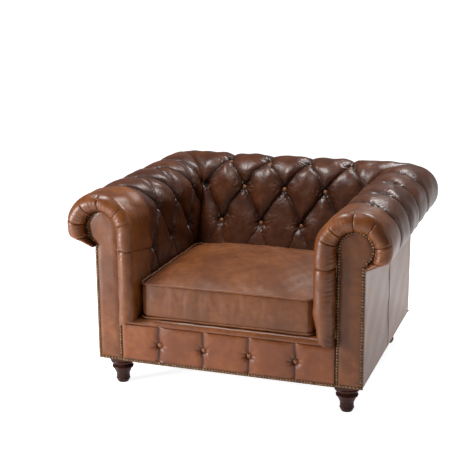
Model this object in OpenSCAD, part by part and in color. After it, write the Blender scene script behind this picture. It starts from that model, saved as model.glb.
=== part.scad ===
// Deep-buttoned club armchair with rolled arms and a rolled back, all at one height.
// Origin: floor point under the middle of the chair. The chair faces -Y, and left is -X.

/* [Overall size] */
// Width over the arm rolls
overall_w = 1170; // [1000:10:1400]
// Depth over the front rolls and the back roll
overall_d = 1000; // [900:10:1200]
// Height to the top of the rolls
overall_h = 730; // [650:5:880]

/* [Arms and back] */
// Radius of the arm and back rolls
roll_r = 126; // [105:1:151]
// How far a roll stands out past the outside panel under it
roll_overhang = 95; // [75:1:115]
// How far the tack line under a roll lies below the roll's centre
tack_drop = 79; // [65:1:95]
// Upward slope of a roll's underside, in degrees
underside_angle = 23; // [15:1:30]
// Lean of the inside back, in degrees
back_lean = 19.8; // [12:0.1:23.8]
// How far the front rolls stand in front of the facings
facing_setback = 50; // [40:1:60]
// Width of a keyhole facing
facing_w = 96; // [80:1:100]
// Radius of a facing's round head
facing_head_r = 64; // [52:1:66]
// How far a facing's head lies below the roll's centre
facing_head_drop = 9; // [0:1:12]

/* [Seat] */
// Height of the deck that the cushion rests on
deck_h = 275; // [250:1:330]
// Height of the front border's top edge
border_h = 249; // [225:1:249]
// Thickness of the cushion at its welts
cushion_t = 130; // [105:1:156]
// How far the cushion's top swells above its welt
cushion_crown = 35; // [20:1:45]
// Gap between the cushion and each arm
cushion_gap = 8; // [4:1:12]
// Corner radius of the cushion in plan
cushion_corner_r = 30; // [25:1:50]

/* [Upholstery] */
// Thickness of leather and wadding together
cover_t = 12; // [9:1:14]
// Thickness of the foam behind the covers
foam_t = 50; // [42:1:52]
// Thickness of the webbing straps
webbing_t = 3; // [2:0.5:4]
// Width of the webbing straps
webbing_w = 50; // [40:1:60]
// Thickness of an outside panel with its board
panel_t = 10; // [8:1:14]
// Thickness of a facing
facing_t = 6; // [4:1:8]

/* [Buttons and nails] */
// Radius of a leather-covered button
button_r = 10; // [8:0.5:12]
// Thickness of a button
button_t = 7; // [5:0.5:8]
// How far a button's base lies below the surface of an arm or the back
button_sink = 26; // [18:1:28]
// How far a button's base lies below the surface of the front border
border_sink = 18; // [14:1:19]
// Radius of a button's well at the surface
well_r = 24; // [20:1:30]
// Distance between buttons along an arm
arm_pitch = 180; // [150:1:190]
// How far the lowest row of buttons on an arm sits behind its top row
arm_row_back = 55; // [0:1:60]
// Place of the top row of buttons on an arm, round the roll from where the face meets it
arm_top_place = 226; // [190:1:240]
// Distance between buttons across the back
back_pitch = 168; // [140:1:170]
// Distance between rows of buttons, along the surface, below an arm's top row
row_pitch = 142; // [120:1:150]
// Distance between buttons on the front border
border_pitch = 168; // [140:1:180]
// Radius of a nail's head
nail_r = 4.75; // [3.5:0.25:5]
// Height of a nail's head
nail_h = 2.4; // [1.5:0.1:3]
// Distance from nail to nail
nail_pitch = 10.5; // [10.2:0.1:14]

/* [Frame] */
// Thickness of the seat rails
rail_t = 35; // [25:1:40]
// Height of the seat rails
rail_h = 107; // [90:1:110]
// Thickness of the wide rails under the rolls
roll_rail_t = 32; // [25:1:34]
// Thickness of the scroll boards
board_t = 20; // [15:1:25]
// Thickness of the posts
post_t = 45; // [38:1:50]
// Leg length of a corner block
block_leg = 85; // [70:1:95]

/* [Springs] */
// Number of springs
spring_count = 6; // [4:1:7]
// Wire of the springs
spring_wire = 4; // [3:0.5:4.5]
// Width of a spring across its loops
spring_w = 50; // [40:1:60]
// Distance from loop to loop
spring_pitch = 44; // [36:1:60]

/* [Feet] */
// Height of the body's underside above the floor
foot_h = 105; // [80:1:140]
// Radius of a foot's top
foot_top_r = 48; // [40:1:50]
// Radius of a foot's toe
foot_toe_r = 22; // [18:1:26]
// Height of the glide under a foot
glide_t = 4; // [3:1:6]
// Radius of the bolt in a foot
bolt_r = 4; // [3:0.5:5]
// Length of the bolt in a foot
bolt_l = 80; // [60:1:100]
// Side of the square plate above a foot
plate_w = 60; // [50:1:70]
// Thickness of the plate above a foot
plate_t = 3; // [2:0.5:4]

/* [Hidden] */
$fn = 48;

// Clearances
seam = 0.3;                 // between pieces that lie against each other
bolt_clearance = 0.1;       // round a bolt in its hole
past = 1;                   // how far a cutting shape runs past what it cuts
big = 3000;                 // larger than the chair

// Rolls and body planes
half_w = overall_w / 2;
half_d = overall_d / 2;
roll_x = half_w - roll_r;
roll_y = half_d - roll_r;
roll_z = overall_h - roll_r;
body_x = half_w - roll_overhang;
body_y = half_d - roll_overhang;
body_edge = roll_r - roll_overhang;          // outside panel, from a roll's centre
inner_x = roll_x - roll_r;
inner_y = roll_y - roll_r;
front_y = facing_setback - half_d;           // front of the facings
frame_x = body_x - panel_t;
frame_y = body_y - panel_t;
frame_edge = body_edge - panel_t;
facing_x = body_x - facing_w;
border_half = facing_x - seam; // of the front's width between the facings
board_y = front_y + facing_t;                // front of the scroll boards
post_y = board_y + board_t;                  // front of the posts
tack_z = roll_z - tack_drop;

// Layers of a pad, as distances of a plane from the roll's centre
foam_r = roll_r - cover_t - seam;
web_r = foam_r - foam_t - seam;
wood_r = web_r - webbing_t - 2 * seam;
pad_bottom = deck_h - roll_z - 13;           // lowest edge of the arm and back pads
wood_x = roll_x - wood_r;                    // inner face of the wooden sides

// Height where the leaning back meets the roll's foremost line
mitre_z = roll_z + roll_r * tan(back_lean / 2);
mitre_tilt = atan(tan(back_lean) / sqrt(2));

// Wooden frame
wood_z = foot_h + plate_t + seam;
rail_top = wood_z + rail_h;
roll_rail_top = tack_drop - 2 * seam - roll_rail_t;    // below the roll's centre
post_top = tack_z + 2 * seam;
tack_rail_h = 40;
tack_rail_z = deck_h - tack_rail_h / 2;
front_rail_back = post_y + post_t;
side_rail_x = frame_x - rail_t;
back_rail_y = frame_y - rail_t;
back_roll_rail_y = roll_y + face(wood_r, back_lean, -roll_rail_top) + seam;
rear_post_y = roll_y + face(wood_r, back_lean, tack_rail_z - roll_z);
inner_half = wood_x - seam;
screw_r = 2.5;
screw_l = 0.9 * block_leg;

// Seat
clip_t = 1.2;
clip_depth = 14;
clip_w = 20;
clip_h = spring_wire + 2 * seam + 2 * clip_t;
spring_z = rail_top + seam / 2 + clip_h / 2;
deck_bottom = spring_z + spring_wire / 2 + seam;
deck_x = inner_x - seam;
deck_back_y = roll_y + face(roll_r, back_lean, pad_bottom) - seam;
border_y = board_y - cover_t - seam;
lip_t = 11;
spring_front_y = front_rail_back - clip_depth / 2;
spring_back_y = back_rail_y + clip_depth / 2;

// Cushion
cushion_x = inner_x - cushion_gap;
cushion_front_y = front_y + 2;
cushion_back_y = roll_y + face(roll_r, back_lean, deck_h - roll_z) - 3;
cushion_z = deck_h + seam;
cushion_d = cushion_back_y - cushion_front_y;
cushion_mid_y = (cushion_back_y + cushion_front_y) / 2;
cushion_wall = 3;
crown_reach = norm([cushion_x, cushion_d / 2]) - cushion_corner_r / 2;
crown_r = (crown_reach * crown_reach + cushion_crown * cushion_crown) / (2 * cushion_crown);
zip_l = 2 * cushion_x - 140;
zip_h = 26;
zip_t = 2;
zip_z = cushion_z + cushion_t / 2;
slider_l = 16;
slider_h = 10;
slider_t = 4;

// Rows of buttons: each is [place along the surface, up from where the face meets the roll;
// places along the pad]. The wells of a middle row stay just clear of that line.
row_clear = well_r + 2;
arm_low = front_y + 130;
arm_rows = [
    [row_clear - row_pitch, [for (i = [0 : 2]) arm_low + arm_row_back + i * arm_pitch]],
    [row_clear, [for (i = [0 : 2]) arm_low + arm_row_back / 2 + (i + 0.5) * arm_pitch]],
    [arm_top_place, [for (i = [0 : 3]) arm_low + i * arm_pitch]]
];
back_rows = [
    [-row_clear - row_pitch, [for (i = [-1.5 : 1 : 1.5]) i * back_pitch]],
    [-row_clear, [for (i = [-1 : 1 : 1]) i * back_pitch]],
    [row_pitch - row_clear, [for (i = [-1.5 : 1 : 1.5]) i * back_pitch]]
];
border_row = [for (i = [-1.5 : 1 : 1.5]) i * border_pitch];
border_button_z = (foot_h + border_h) / 2;
shank_r = 1.6;
shank_l = 25;
border_shank_l = 10;

// Feet
foot_x = wood_x + 0.5 * post_t + 2;
foot_front_y = post_y + 0.7 * post_t;
foot_back_y = back_rail_y - 45;
foot_places = [[foot_x, foot_front_y], [foot_x, foot_back_y]];
bolt_sunk = 40;

function face(r, lean, v) = (v * sin(lean) - r) / cos(lean);

// ---------- sections of the padded arms and back, drawn round the roll's centre ----------

// What lies under the roll, outside the panel's plane
module under_roll(edge, lift) {
    reach = 2 * roll_r;
    low = -tack_drop + lift;
    polygon([
        [edge, low], [edge + reach, low + reach * tan(underside_angle)],
        [edge + reach, low - reach], [edge, low - reach]
    ]);
}

// The roll with the straight face that runs down from it
module pad_section(r, lean, bottom, edge, lift) {
    difference() {
        union() {
            circle(r);
            polygon([
                [-r * cos(lean), r * sin(lean)], [face(r, lean, bottom), bottom],
                [edge, bottom], [edge, 0]
            ]);
        }
        under_roll(body_edge, lift);
    }
}

module cover_section(lean) {
    difference() {
        pad_section(roll_r, lean, pad_bottom, body_edge, 0);
        pad_section(roll_r - cover_t, lean, pad_bottom - past, body_edge + seam, cover_t);
    }
}

module foam_section(lean) {
    difference() {
        pad_section(foam_r, lean, pad_bottom, body_edge, cover_t + seam);
        polygon([
            [face(web_r, lean, -roll_rail_top + seam), -roll_rail_top + seam],
            [face(web_r, lean, pad_bottom - past), pad_bottom - past],
            [frame_edge + seam, pad_bottom - past],
            [frame_edge + seam, -roll_rail_top + seam]
        ]);
        translate([frame_edge, pad_bottom - past])
            square([roll_overhang, -tack_drop + cover_t + past - pad_bottom]);
    }
}

// Runs a section along the arm, from one depth to another
module along_arm(from, to) {
    translate([roll_x, to, roll_z]) rotate([90, 0, 0]) linear_extrude(to - from) children();
}

// Runs a section across the back, symmetric about the middle
module across_back(width) {
    translate([0, roll_y, roll_z]) rotate([0, 0, 90])
        rotate([90, 0, 0]) linear_extrude(width, center = true) children();
}

// Half of space, on the arm's side of a mitre plane that leans forward at its foot by an angle
module mitre_half(tilt, gap) {
    translate([inner_x + gap, inner_y, mitre_z]) rotate([0, -tilt, -45])
        translate([0, -big / 2, -big / 2]) cube(big);
}

// Everything on the right arm's side of the mitre: upright through the rolls, and leaning below
// them on the inside, where it follows the corner between the arm and the leaning back
module arm_side(gap) {
    difference() {
        mitre_half(0, gap);
        translate([roll_x - big, -big / 2, mitre_z - big]) cube(big);
    }
    intersection() {
        mitre_half(mitre_tilt, gap);
        translate([roll_x - big, -big / 2, mitre_z - big]) cube(big);
    }
}

module both_sides() {
    children();
    mirror([1, 0, 0]) children();
}

module left_side() {
    mirror([1, 0, 0]) children();
}

// Puts a child on the pad's surface, with its own +Z pointing out of it
module on_pad(lean, place) {
    turn = lean + max(place, 0) / roll_r * 180 / PI;
    drop = min(place, 0);
    translate([-roll_r * cos(turn) + drop * sin(lean), 0, roll_r * sin(turn) + drop * cos(lean)])
        rotate([0, turn - 90, 0]) children();
}

module on_arm(rows) {
    for (row = rows, y = row[1])
        translate([roll_x, y, roll_z]) on_pad(0, row[0]) children();
}

module on_back(rows) {
    for (row = rows, x = row[1])
        translate([x, roll_y, roll_z]) rotate([0, 0, 90]) on_pad(back_lean, row[0]) children();
}

// The button in the corner between arm and back
module on_corner() {
    translate([inner_x, inner_y, mitre_z]) rotate([0, 0, 45]) rotate([0, -90, 0]) children();
}

// A button's tapering well through a cover
module well(sink) {
    slope = (well_r - button_r) / sink;
    translate([0, 0, -sink]) cylinder(h = sink + past, r1 = button_r, r2 = well_r + past * slope);
}

// The hole that holds a button in the foam, deep enough for its shank
module foam_hole(sink, shank) {
    translate([0, 0, -sink - shank - past])
        cylinder(h = sink + shank, r = button_r + seam);
}

module button(sink, shank) {
    translate([0, 0, -sink]) rotate_extrude() polygon([
        [0, button_t], [0.5 * button_r, 0.92 * button_t], [0.85 * button_r, 0.65 * button_t],
        [button_r, 0.25 * button_t], [0.95 * button_r, 0], [shank_r, 0], [shank_r, -shank], [0, -shank]
    ]);
}

// ---------- wooden frame ----------

module wood() {
    color("burlywood") children();
}

module front_rail() {
    wood() translate([-inner_half, post_y + 5, wood_z])
        cube([2 * inner_half, post_t - 5, rail_h]);
}

module back_rail() {
    wood() translate([-inner_half, back_rail_y, wood_z]) cube([2 * inner_half, rail_t, rail_h]);
}

module right_side_rail() {
    wood() translate([side_rail_x, front_rail_back + seam, wood_z])
        cube([rail_t, frame_y - front_rail_back - seam, rail_h]);
}

module left_side_rail() {
    left_side() right_side_rail();
}

module corner_block() {
    linear_extrude(rail_h - 20) polygon([[0, 0], [-block_leg, 0], [0, block_leg]]);
}

module corner_blocks() {
    wood() both_sides() {
        translate([side_rail_x - seam, front_rail_back + seam, wood_z]) corner_block();
        translate([wood_x - seam, back_rail_y - seam, wood_z]) mirror([0, 1, 0]) corner_block();
    }
}

module corner_screw() {
    rotate([0, 90, 0]) {
        cylinder(h = screw_l, r = screw_r, $fn = 24);
        translate([0, 0, -screw_r]) cylinder(h = screw_r, r = 2 * screw_r, $fn = 24);
    }
}

module corner_screws() {
    reach = block_leg / 2;
    color("silver") both_sides() for (z = [20, rail_h - 40]) {
        translate([side_rail_x - seam - reach, front_rail_back + seam + reach, wood_z + z])
            rotate([0, 0, -45]) corner_screw();
        translate([wood_x - seam - reach, back_rail_y - seam - reach, wood_z + z])
            rotate([0, 0, 45]) corner_screw();
    }
}

module bolt_hole(place) {
    translate([place[0], place[1], foot_h - past])
        cylinder(h = bolt_l - bolt_sunk + 2 * past, r = bolt_r + bolt_clearance);
}

module right_front_post() {
    wood() difference() {
        translate([wood_x, post_y, wood_z]) cube([frame_x - wood_x, post_t, post_top - wood_z]);
        bolt_hole(foot_places[0]);
    }
}

module left_front_post() {
    left_side() right_front_post();
}

module right_rear_post() {
    top = post_top - roll_z;
    low = tack_rail_z - roll_z;
    base = wood_z - roll_z;
    wood() difference() {
        translate([wood_x, roll_y, roll_z]) rotate([0, 0, 90]) rotate([90, 0, 0])
            linear_extrude(post_t) polygon([
                [face(wood_r, back_lean, top), top], [face(wood_r, back_lean, low), low],
                [face(wood_r, back_lean, low), base], [frame_edge, base], [frame_edge, top]
            ]);
        bolt_hole(foot_places[1]);
    }
}

module left_rear_post() {
    left_side() right_rear_post();
}

module right_scroll_board() {
    wood() difference() {
        union() {
            along_arm(board_y, post_y - seam)
                pad_section(foam_r, 0, deck_h - roll_z, frame_edge - seam, cover_t + seam);
            translate([wood_x, board_y, wood_z])
                cube([frame_x - seam - wood_x, board_t - seam, deck_h - wood_z + past]);
        }
        translate([frame_x - seam, board_y - past, foot_h])
            cube([panel_t + seam, board_t + 2 * past, tack_z + cover_t + seam - foot_h]);
    }
}

module left_scroll_board() {
    left_side() right_scroll_board();
}

module right_arm_rail() {
    wood() translate([wood_x, post_y, roll_z - roll_rail_top - roll_rail_t + 4 * seam])
        cube([frame_x - wood_x, back_roll_rail_y - post_y - seam, roll_rail_t - 4 * seam]);
}

module left_arm_rail() {
    left_side() right_arm_rail();
}

module back_top_rail() {
    wood() translate([-frame_x, back_roll_rail_y, roll_z - roll_rail_top - roll_rail_t + 4 * seam])
        cube([2 * frame_x, frame_y - back_roll_rail_y, roll_rail_t - 4 * seam]);
}

module right_arm_tack_rail() {
    wood() translate([wood_x, front_rail_back + seam, tack_rail_z])
        cube([rail_t, rear_post_y - front_rail_back - 2 * seam, tack_rail_h]);
}

module left_arm_tack_rail() {
    left_side() right_arm_tack_rail();
}

module back_tack_rail() {
    front = roll_y + face(wood_r, back_lean, tack_rail_z + tack_rail_h - roll_z);
    wood() translate([-inner_half, front, tack_rail_z]) cube([2 * inner_half, rail_t, tack_rail_h]);
}

// ---------- springs, webbing and deck ----------

// Points of one edge of a flat zigzag of wire, out from its middle line by a distance
function zigzag(length, out) = let (
    count = 2 * floor(length / spring_pitch),
    loop = length / count,
    bend = loop / 2,
    straight = spring_w / 2 - bend
) concat(
    [[-straight, -out]],
    [for (i = [0 : count - 1], a = [0 : 30 : 180])
        let (side = i % 2 == 0 ? 1 : -1, r = bend + side * out)
        [side * (straight + r * sin(a)), (i + 0.5) * loop - r * cos(a)]],
    [[straight, length - out]]
);

function reversed(list) = [for (i = [len(list) - 1 : -1 : 0]) list[i]];

module spring() {
    length = spring_back_y - spring_front_y;
    linear_extrude(spring_wire, center = true)
        polygon(concat(zigzag(length, spring_wire / 2), reversed(zigzag(length, -spring_wire / 2))));
}

spring_places = [for (i = [0 : spring_count - 1]) (i - (spring_count - 1) / 2) * 2 * deck_x / spring_count];

module seat_springs() {
    color("dimgray") for (x = spring_places)
        translate([x, spring_front_y, spring_z]) spring();
}

// A folded clip that holds a spring's end bar down on the rail
module clip() {
    rotate([90, 0, 90]) linear_extrude(clip_w, center = true) difference() {
        translate([-clip_depth / 2, 0]) square([clip_depth, clip_h]);
        translate([-clip_depth / 2 - past, clip_t])
            square([clip_depth - clip_t + past, spring_wire + 2 * seam]);
    }
}

module spring_clips() {
    color("gray") for (x = spring_places) {
        translate([x, spring_front_y - 3, rail_top + seam / 2]) mirror([0, 1, 0]) clip();
        translate([x, spring_back_y + 3, rail_top + seam / 2]) clip();
    }
}

// Straps across the open side of an arm, behind the foam
module right_arm_webbing() {
    bottom = tack_rail_z + 5;
    front = post_y + 10;
    back = rear_post_y - webbing_t - 10;
    color("tan") translate([roll_x - web_r + seam, 0, 0]) {
        for (i = [0 : 4]) translate([0, front + i * (back - front - webbing_w) / 4, bottom])
            cube([webbing_t, webbing_w, post_top + roll_rail_t / 2 - bottom]);
        for (z = [0.3, 0.7]) translate([0, front, bottom + z * (post_top - bottom)])
            cube([webbing_t, back - front, webbing_w]);
    }
}

module left_arm_webbing() {
    left_side() right_arm_webbing();
}

module back_webbing() {
    bottom = tack_rail_z + 5 - roll_z;
    width = 2 * (roll_x - web_r) - 30;
    length = (-roll_rail_top - bottom) / cos(back_lean);
    color("tan") translate([0, roll_y + face(web_r - seam, back_lean, bottom), roll_z + bottom])
        rotate([-back_lean, 0, 0]) {
            for (i = [0 : 5]) translate([-width / 2 + i * (width - webbing_w) / 5, 0, 0])
                cube([webbing_w, webbing_t, length]);
            for (z = [0.3, 0.7]) translate([-width / 2, 0, z * length])
                cube([width, webbing_t, webbing_w]);
        }
}

module deck_pad() {
    front = front_rail_back - 2 * seam;
    color("darkkhaki") translate([-deck_x, front, deck_bottom])
        cube([2 * deck_x, deck_back_y - front, deck_h - deck_bottom]);
}

module edge_roll() {
    front = board_y - seam;
    color("khaki") translate([-deck_x, front, rail_top + seam])
        cube([2 * deck_x, spring_front_y - clip_depth - front, deck_h - lip_t - rail_top - 2 * seam]);
}

module front_lip() {
    front = board_y - 2 * seam;
    back = front_rail_back - 4 * seam - front;
    color("sienna") {
        translate([-deck_x, front, deck_h - lip_t]) cube([2 * deck_x, back, lip_t]);
        translate([-border_half, front, 0]) rotate([90, 0, 90])
            linear_extrude(2 * border_half) polygon([
                [0, border_h + seam], [-cover_t - 2, border_h + seam], [-cover_t - 2, border_h + 8],
                [-2, deck_h], [0, deck_h]
            ]);
    }
}

module on_border() {
    for (x = border_row) translate([x, border_y, border_button_z]) rotate([90, 0, 0]) children();
}

module front_border() {
    color("sienna") difference() {
        translate([-border_half, border_y, foot_h])
            cube([2 * border_half, cover_t, border_h - foot_h]);
        on_border() well(border_sink);
    }
}

module border_foam() {
    color("khaki") difference() {
        translate([-inner_half + seam, board_y, wood_z])
            cube([2 * inner_half - 2 * seam, board_t + 5 - seam, rail_h]);
        on_border() foam_hole(border_sink, border_shank_l);
    }
}

module front_border_buttons() {
    color("saddlebrown") on_border() button(border_sink, border_shank_l);
}

// ---------- padded arms and back ----------

module right_arm_foam() {
    color("khaki") difference() {
        intersection() {
            along_arm(post_y, half_d) foam_section(0);
            arm_side(seam);
        }
        on_arm(arm_rows) foam_hole(button_sink, shank_l);
        on_corner() foam_hole(button_sink, shank_l);
    }
}

module left_arm_foam() {
    left_side() right_arm_foam();
}

module back_foam() {
    color("khaki") difference() {
        across_back(overall_w) foam_section(back_lean);
        both_sides() arm_side(0);
        on_back(back_rows) foam_hole(button_sink, shank_l);
        both_sides() on_corner() foam_hole(button_sink, shank_l);
    }
}

module right_arm_cover() {
    color("sienna") difference() {
        intersection() {
            along_arm(arm_low, half_d) cover_section(0);
            arm_side(seam);
        }
        on_arm(arm_rows) well(button_sink);
        on_corner() well(button_sink);
    }
}

module left_arm_cover() {
    left_side() right_arm_cover();
}

module back_cover() {
    color("sienna") difference() {
        across_back(overall_w) cover_section(back_lean);
        both_sides() arm_side(0);
        on_back(back_rows) well(button_sink);
        both_sides() on_corner() well(button_sink);
    }
}

module right_arm_buttons() {
    color("saddlebrown") on_arm(arm_rows) button(button_sink, shank_l);
}

module left_arm_buttons() {
    left_side() right_arm_buttons();
}

module back_buttons() {
    color("saddlebrown") {
        on_back(back_rows) button(button_sink, shank_l);
        both_sides() on_corner() button(button_sink, shank_l);
    }
}

// ---------- arm fronts ----------

// Outline of the keyhole facing, drawn round the roll's centre
module keyhole(grow) {
    bottom = foot_h - roll_z - grow;
    translate([0, -facing_head_drop]) circle(facing_head_r + grow);
    translate([facing_x - roll_x - grow, bottom])
        square([roll_x - facing_x + grow, -facing_head_drop - bottom]);
    translate([facing_x - roll_x - grow, bottom])
        square([facing_w + grow, -facing_head_drop - 0.9 * facing_head_r - bottom]);
}

module right_facing() {
    color("saddlebrown") along_arm(front_y, board_y - seam) keyhole(0);
}

module left_facing() {
    left_side() right_facing();
}

// Section of the padded bead: flat at the back, round at the front
module bead(width, depth) {
    intersection() {
        square([width, depth]);
        union() {
            square([width, depth - width / 2]);
            translate([width / 2, depth - width / 2]) circle(width / 2);
        }
    }
}

// The front of an arm: a padded bead round the facing, as a ring round the roll's end and a strip
// down the inside, with the plain cover that runs back from it to the first buttons
module right_front_roll() {
    depth = facing_setback + facing_t - seam;
    color("sienna") difference() {
        union() {
            translate([roll_x, board_y - seam, roll_z]) rotate([90, 0, 0]) rotate_extrude()
                translate([facing_head_r, 0]) bead(roll_r - facing_head_r, depth);
            translate([facing_x, board_y - seam, deck_h + past]) linear_extrude(roll_z - deck_h - past)
                rotate(180) bead(facing_x - inner_x, depth);
            along_arm(board_y - 2 * seam, arm_low - seam) cover_section(0);
        }
        on_arm(arm_rows) well(button_sink);
        along_arm(-half_d - past, board_y) keyhole(seam);
        along_arm(-half_d - past, board_y) under_roll(body_edge, 0);
        translate([facing_x - past, -half_d - past, foot_h])
            cube([body_x - facing_x + past, depth + 2 * past, tack_z - foot_h]);
    }
}

module left_front_roll() {
    left_side() right_front_roll();
}

// Places of nails along a straight line, from one [x, z] to another
function nail_line(from, to) = let (count = floor(norm(to - from) / nail_pitch))
    [for (i = [0 : count]) from + (to - from) * i / count];

// Nail heads in a plane of the front, as flat discs
module nail_heads(places, y) {
    color("darkgoldenrod") translate([0, y, 0]) rotate([90, 0, 0]) linear_extrude(nail_h)
        for (at = places) translate(at) circle(nail_r, $fn = 24);
}

module right_facing_nails() {
    inset = nail_r + 1.5;
    head_r = facing_head_r - inset;
    head_z = roll_z - facing_head_drop;
    side_top = head_z - 0.9 * facing_head_r - inset;
    low_z = foot_h + inset;
    last_angle = -50;
    step = nail_pitch / head_r * 180 / PI;
    nail_heads(concat(
        nail_line([facing_x + inset, low_z], [facing_x + inset, head_z - nail_pitch]),
        nail_line([facing_x + inset + nail_pitch, low_z], [body_x - inset - nail_pitch, low_z]),
        nail_line([body_x - inset, low_z], [body_x - inset, side_top]),
        [for (a = [180 : -step : last_angle]) [roll_x + head_r * cos(a), head_z + head_r * sin(a)]]
    ), front_y);
}

module left_facing_nails() {
    left_side() right_facing_nails();
}

module front_nails() {
    reach = border_half - nail_r - 3;
    low_z = foot_h + nail_r + 1.5;
    nail_heads(nail_line([-reach, low_z], [reach, low_z]), border_y);
}

// ---------- outside panels ----------

module outside_right_arm() {
    depth = body_y - board_y;
    color("saddlebrown") translate([frame_x + seam, board_y, 0]) rotate([90, 0, 90])
        linear_extrude(panel_t - seam) difference() {
            translate([seam, foot_h]) square([depth - seam, tack_z - seam - foot_h]);
            translate([depth, foot_h]) rotate(45) square(30, center = true);
        }
}

module outside_left_arm() {
    left_side() outside_right_arm();
}

module outside_back() {
    color("saddlebrown") translate([-frame_x, frame_y + seam, foot_h])
        cube([2 * frame_x, panel_t - seam, tack_z - seam - foot_h]);
}

module dust_cover() {
    color("black") difference() {
        translate([-frame_x, board_y + seam, foot_h + 0.5]) cube([2 * frame_x, frame_y - board_y - seam, 1]);
        both_sides() for (at = foot_places) translate([at[0], at[1], foot_h])
            cylinder(h = 2, r = plate_w * sqrt(0.5) + past);
    }
}

// ---------- feet ----------

// A turned foot: a cap, a bead, a hollow neck, a second bead and a tapered toe
module foot(at) {
    height = foot_h - glide_t - seam;
    color("maroon") translate([at[0], at[1], glide_t + seam]) difference() {
        rotate_extrude() {
            polygon([
                [0, 0], [foot_toe_r, 0], [foot_toe_r + 2, 6], [foot_toe_r + 3, 0.3 * height],
                [0.74 * foot_top_r, 0.52 * height], [0.74 * foot_top_r, 0.6 * height],
                [0.62 * foot_top_r, 0.66 * height], [0.82 * foot_top_r, 0.8 * height],
                [foot_top_r, 0.86 * height], [foot_top_r, height], [0, height]
            ]);
            translate([foot_toe_r, 0.1 * height]) circle(4);
            translate([0.72 * foot_top_r, 0.56 * height]) circle(5);
            translate([0.82 * foot_top_r, 0.78 * height]) circle(5);
        }
        translate([0, 0, height - bolt_sunk])
            cylinder(h = bolt_sunk + past, r = bolt_r + bolt_clearance);
    }
}

module front_right_foot() {
    foot(foot_places[0]);
}

module front_left_foot() {
    left_side() front_right_foot();
}

module rear_right_foot() {
    foot(foot_places[1]);
}

module rear_left_foot() {
    left_side() rear_right_foot();
}

module foot_bolts() {
    color("silver") both_sides() for (at = foot_places)
        translate([at[0], at[1], foot_h - bolt_sunk + past]) cylinder(h = bolt_l, r = bolt_r);
}

module foot_plates() {
    color("gray") both_sides() for (at = foot_places) difference() {
        translate([at[0] - plate_w / 2, at[1] - plate_w / 2, foot_h + seam / 2])
            cube([plate_w, plate_w, plate_t]);
        bolt_hole(at);
    }
}

module foot_glides() {
    color("dimgray") both_sides() for (at = foot_places)
        translate([at[0], at[1], 0]) cylinder(h = glide_t, r = foot_toe_r - 3);
}

// ---------- loose cushion ----------

// The cushion's solid, smaller than its outside by a distance all round
module cushion_shape(inset) {
    x = cushion_x - inset;
    y = cushion_d / 2 - inset;
    r = cushion_corner_r - inset;
    module plan() {
        translate([-x + r, -y]) square([2 * (x - r), 2 * y]);
        translate([-x, -y + r]) square([2 * x, 2 * (y - r)]);
        for (sx = [-1, 1], sy = [-1, 1]) translate([sx * (x - r), sy * (y - r)]) circle(r);
    }
    translate([0, cushion_mid_y, cushion_z + inset]) {
        linear_extrude(cushion_t - 2 * inset) plan();
        intersection() {
            linear_extrude(cushion_t + cushion_crown) plan();
            translate([0, 0, cushion_t + cushion_crown - crown_r - 2 * inset]) sphere(crown_r, $fn = 200);
        }
    }
}

module cushion_core() {
    color("khaki") cushion_shape(cushion_wall + seam);
}

module cushion_cover() {
    color("sienna") difference() {
        cushion_shape(0);
        cushion_shape(cushion_wall);
    }
}

module cushion_zip() {
    color("dimgray") translate([-zip_l / 2, cushion_back_y + seam, zip_z - zip_h / 2])
        cube([zip_l, zip_t, zip_h]);
}

module zip_slider() {
    color("goldenrod") translate([-zip_l / 2 + 5, cushion_back_y + zip_t + 2 * seam, zip_z - slider_h / 2])
        cube([slider_l, slider_t, slider_h]);
}

front_rail();
back_rail();
left_side_rail();
right_side_rail();
corner_blocks();
corner_screws();
left_front_post();
right_front_post();
left_rear_post();
right_rear_post();
left_scroll_board();
right_scroll_board();
left_arm_rail();
right_arm_rail();
back_top_rail();
left_arm_tack_rail();
right_arm_tack_rail();
back_tack_rail();
seat_springs();
spring_clips();
left_arm_webbing();
right_arm_webbing();
back_webbing();
deck_pad();
edge_roll();
front_lip();
front_border();
border_foam();
front_border_buttons();
left_arm_foam();
right_arm_foam();
back_foam();
left_arm_cover();
right_arm_cover();
back_cover();
left_arm_buttons();
right_arm_buttons();
back_buttons();
left_front_roll();
right_front_roll();
left_facing();
right_facing();
left_facing_nails();
right_facing_nails();
front_nails();
outside_left_arm();
outside_right_arm();
outside_back();
dust_cover();
front_left_foot();
front_right_foot();
rear_left_foot();
rear_right_foot();
foot_bolts();
foot_plates();
foot_glides();
cushion_core();
cushion_cover();
cushion_zip();
zip_slider();
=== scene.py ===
import math

import bmesh
import bpy
import numpy as np
from mathutils import Matrix, Vector


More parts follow.
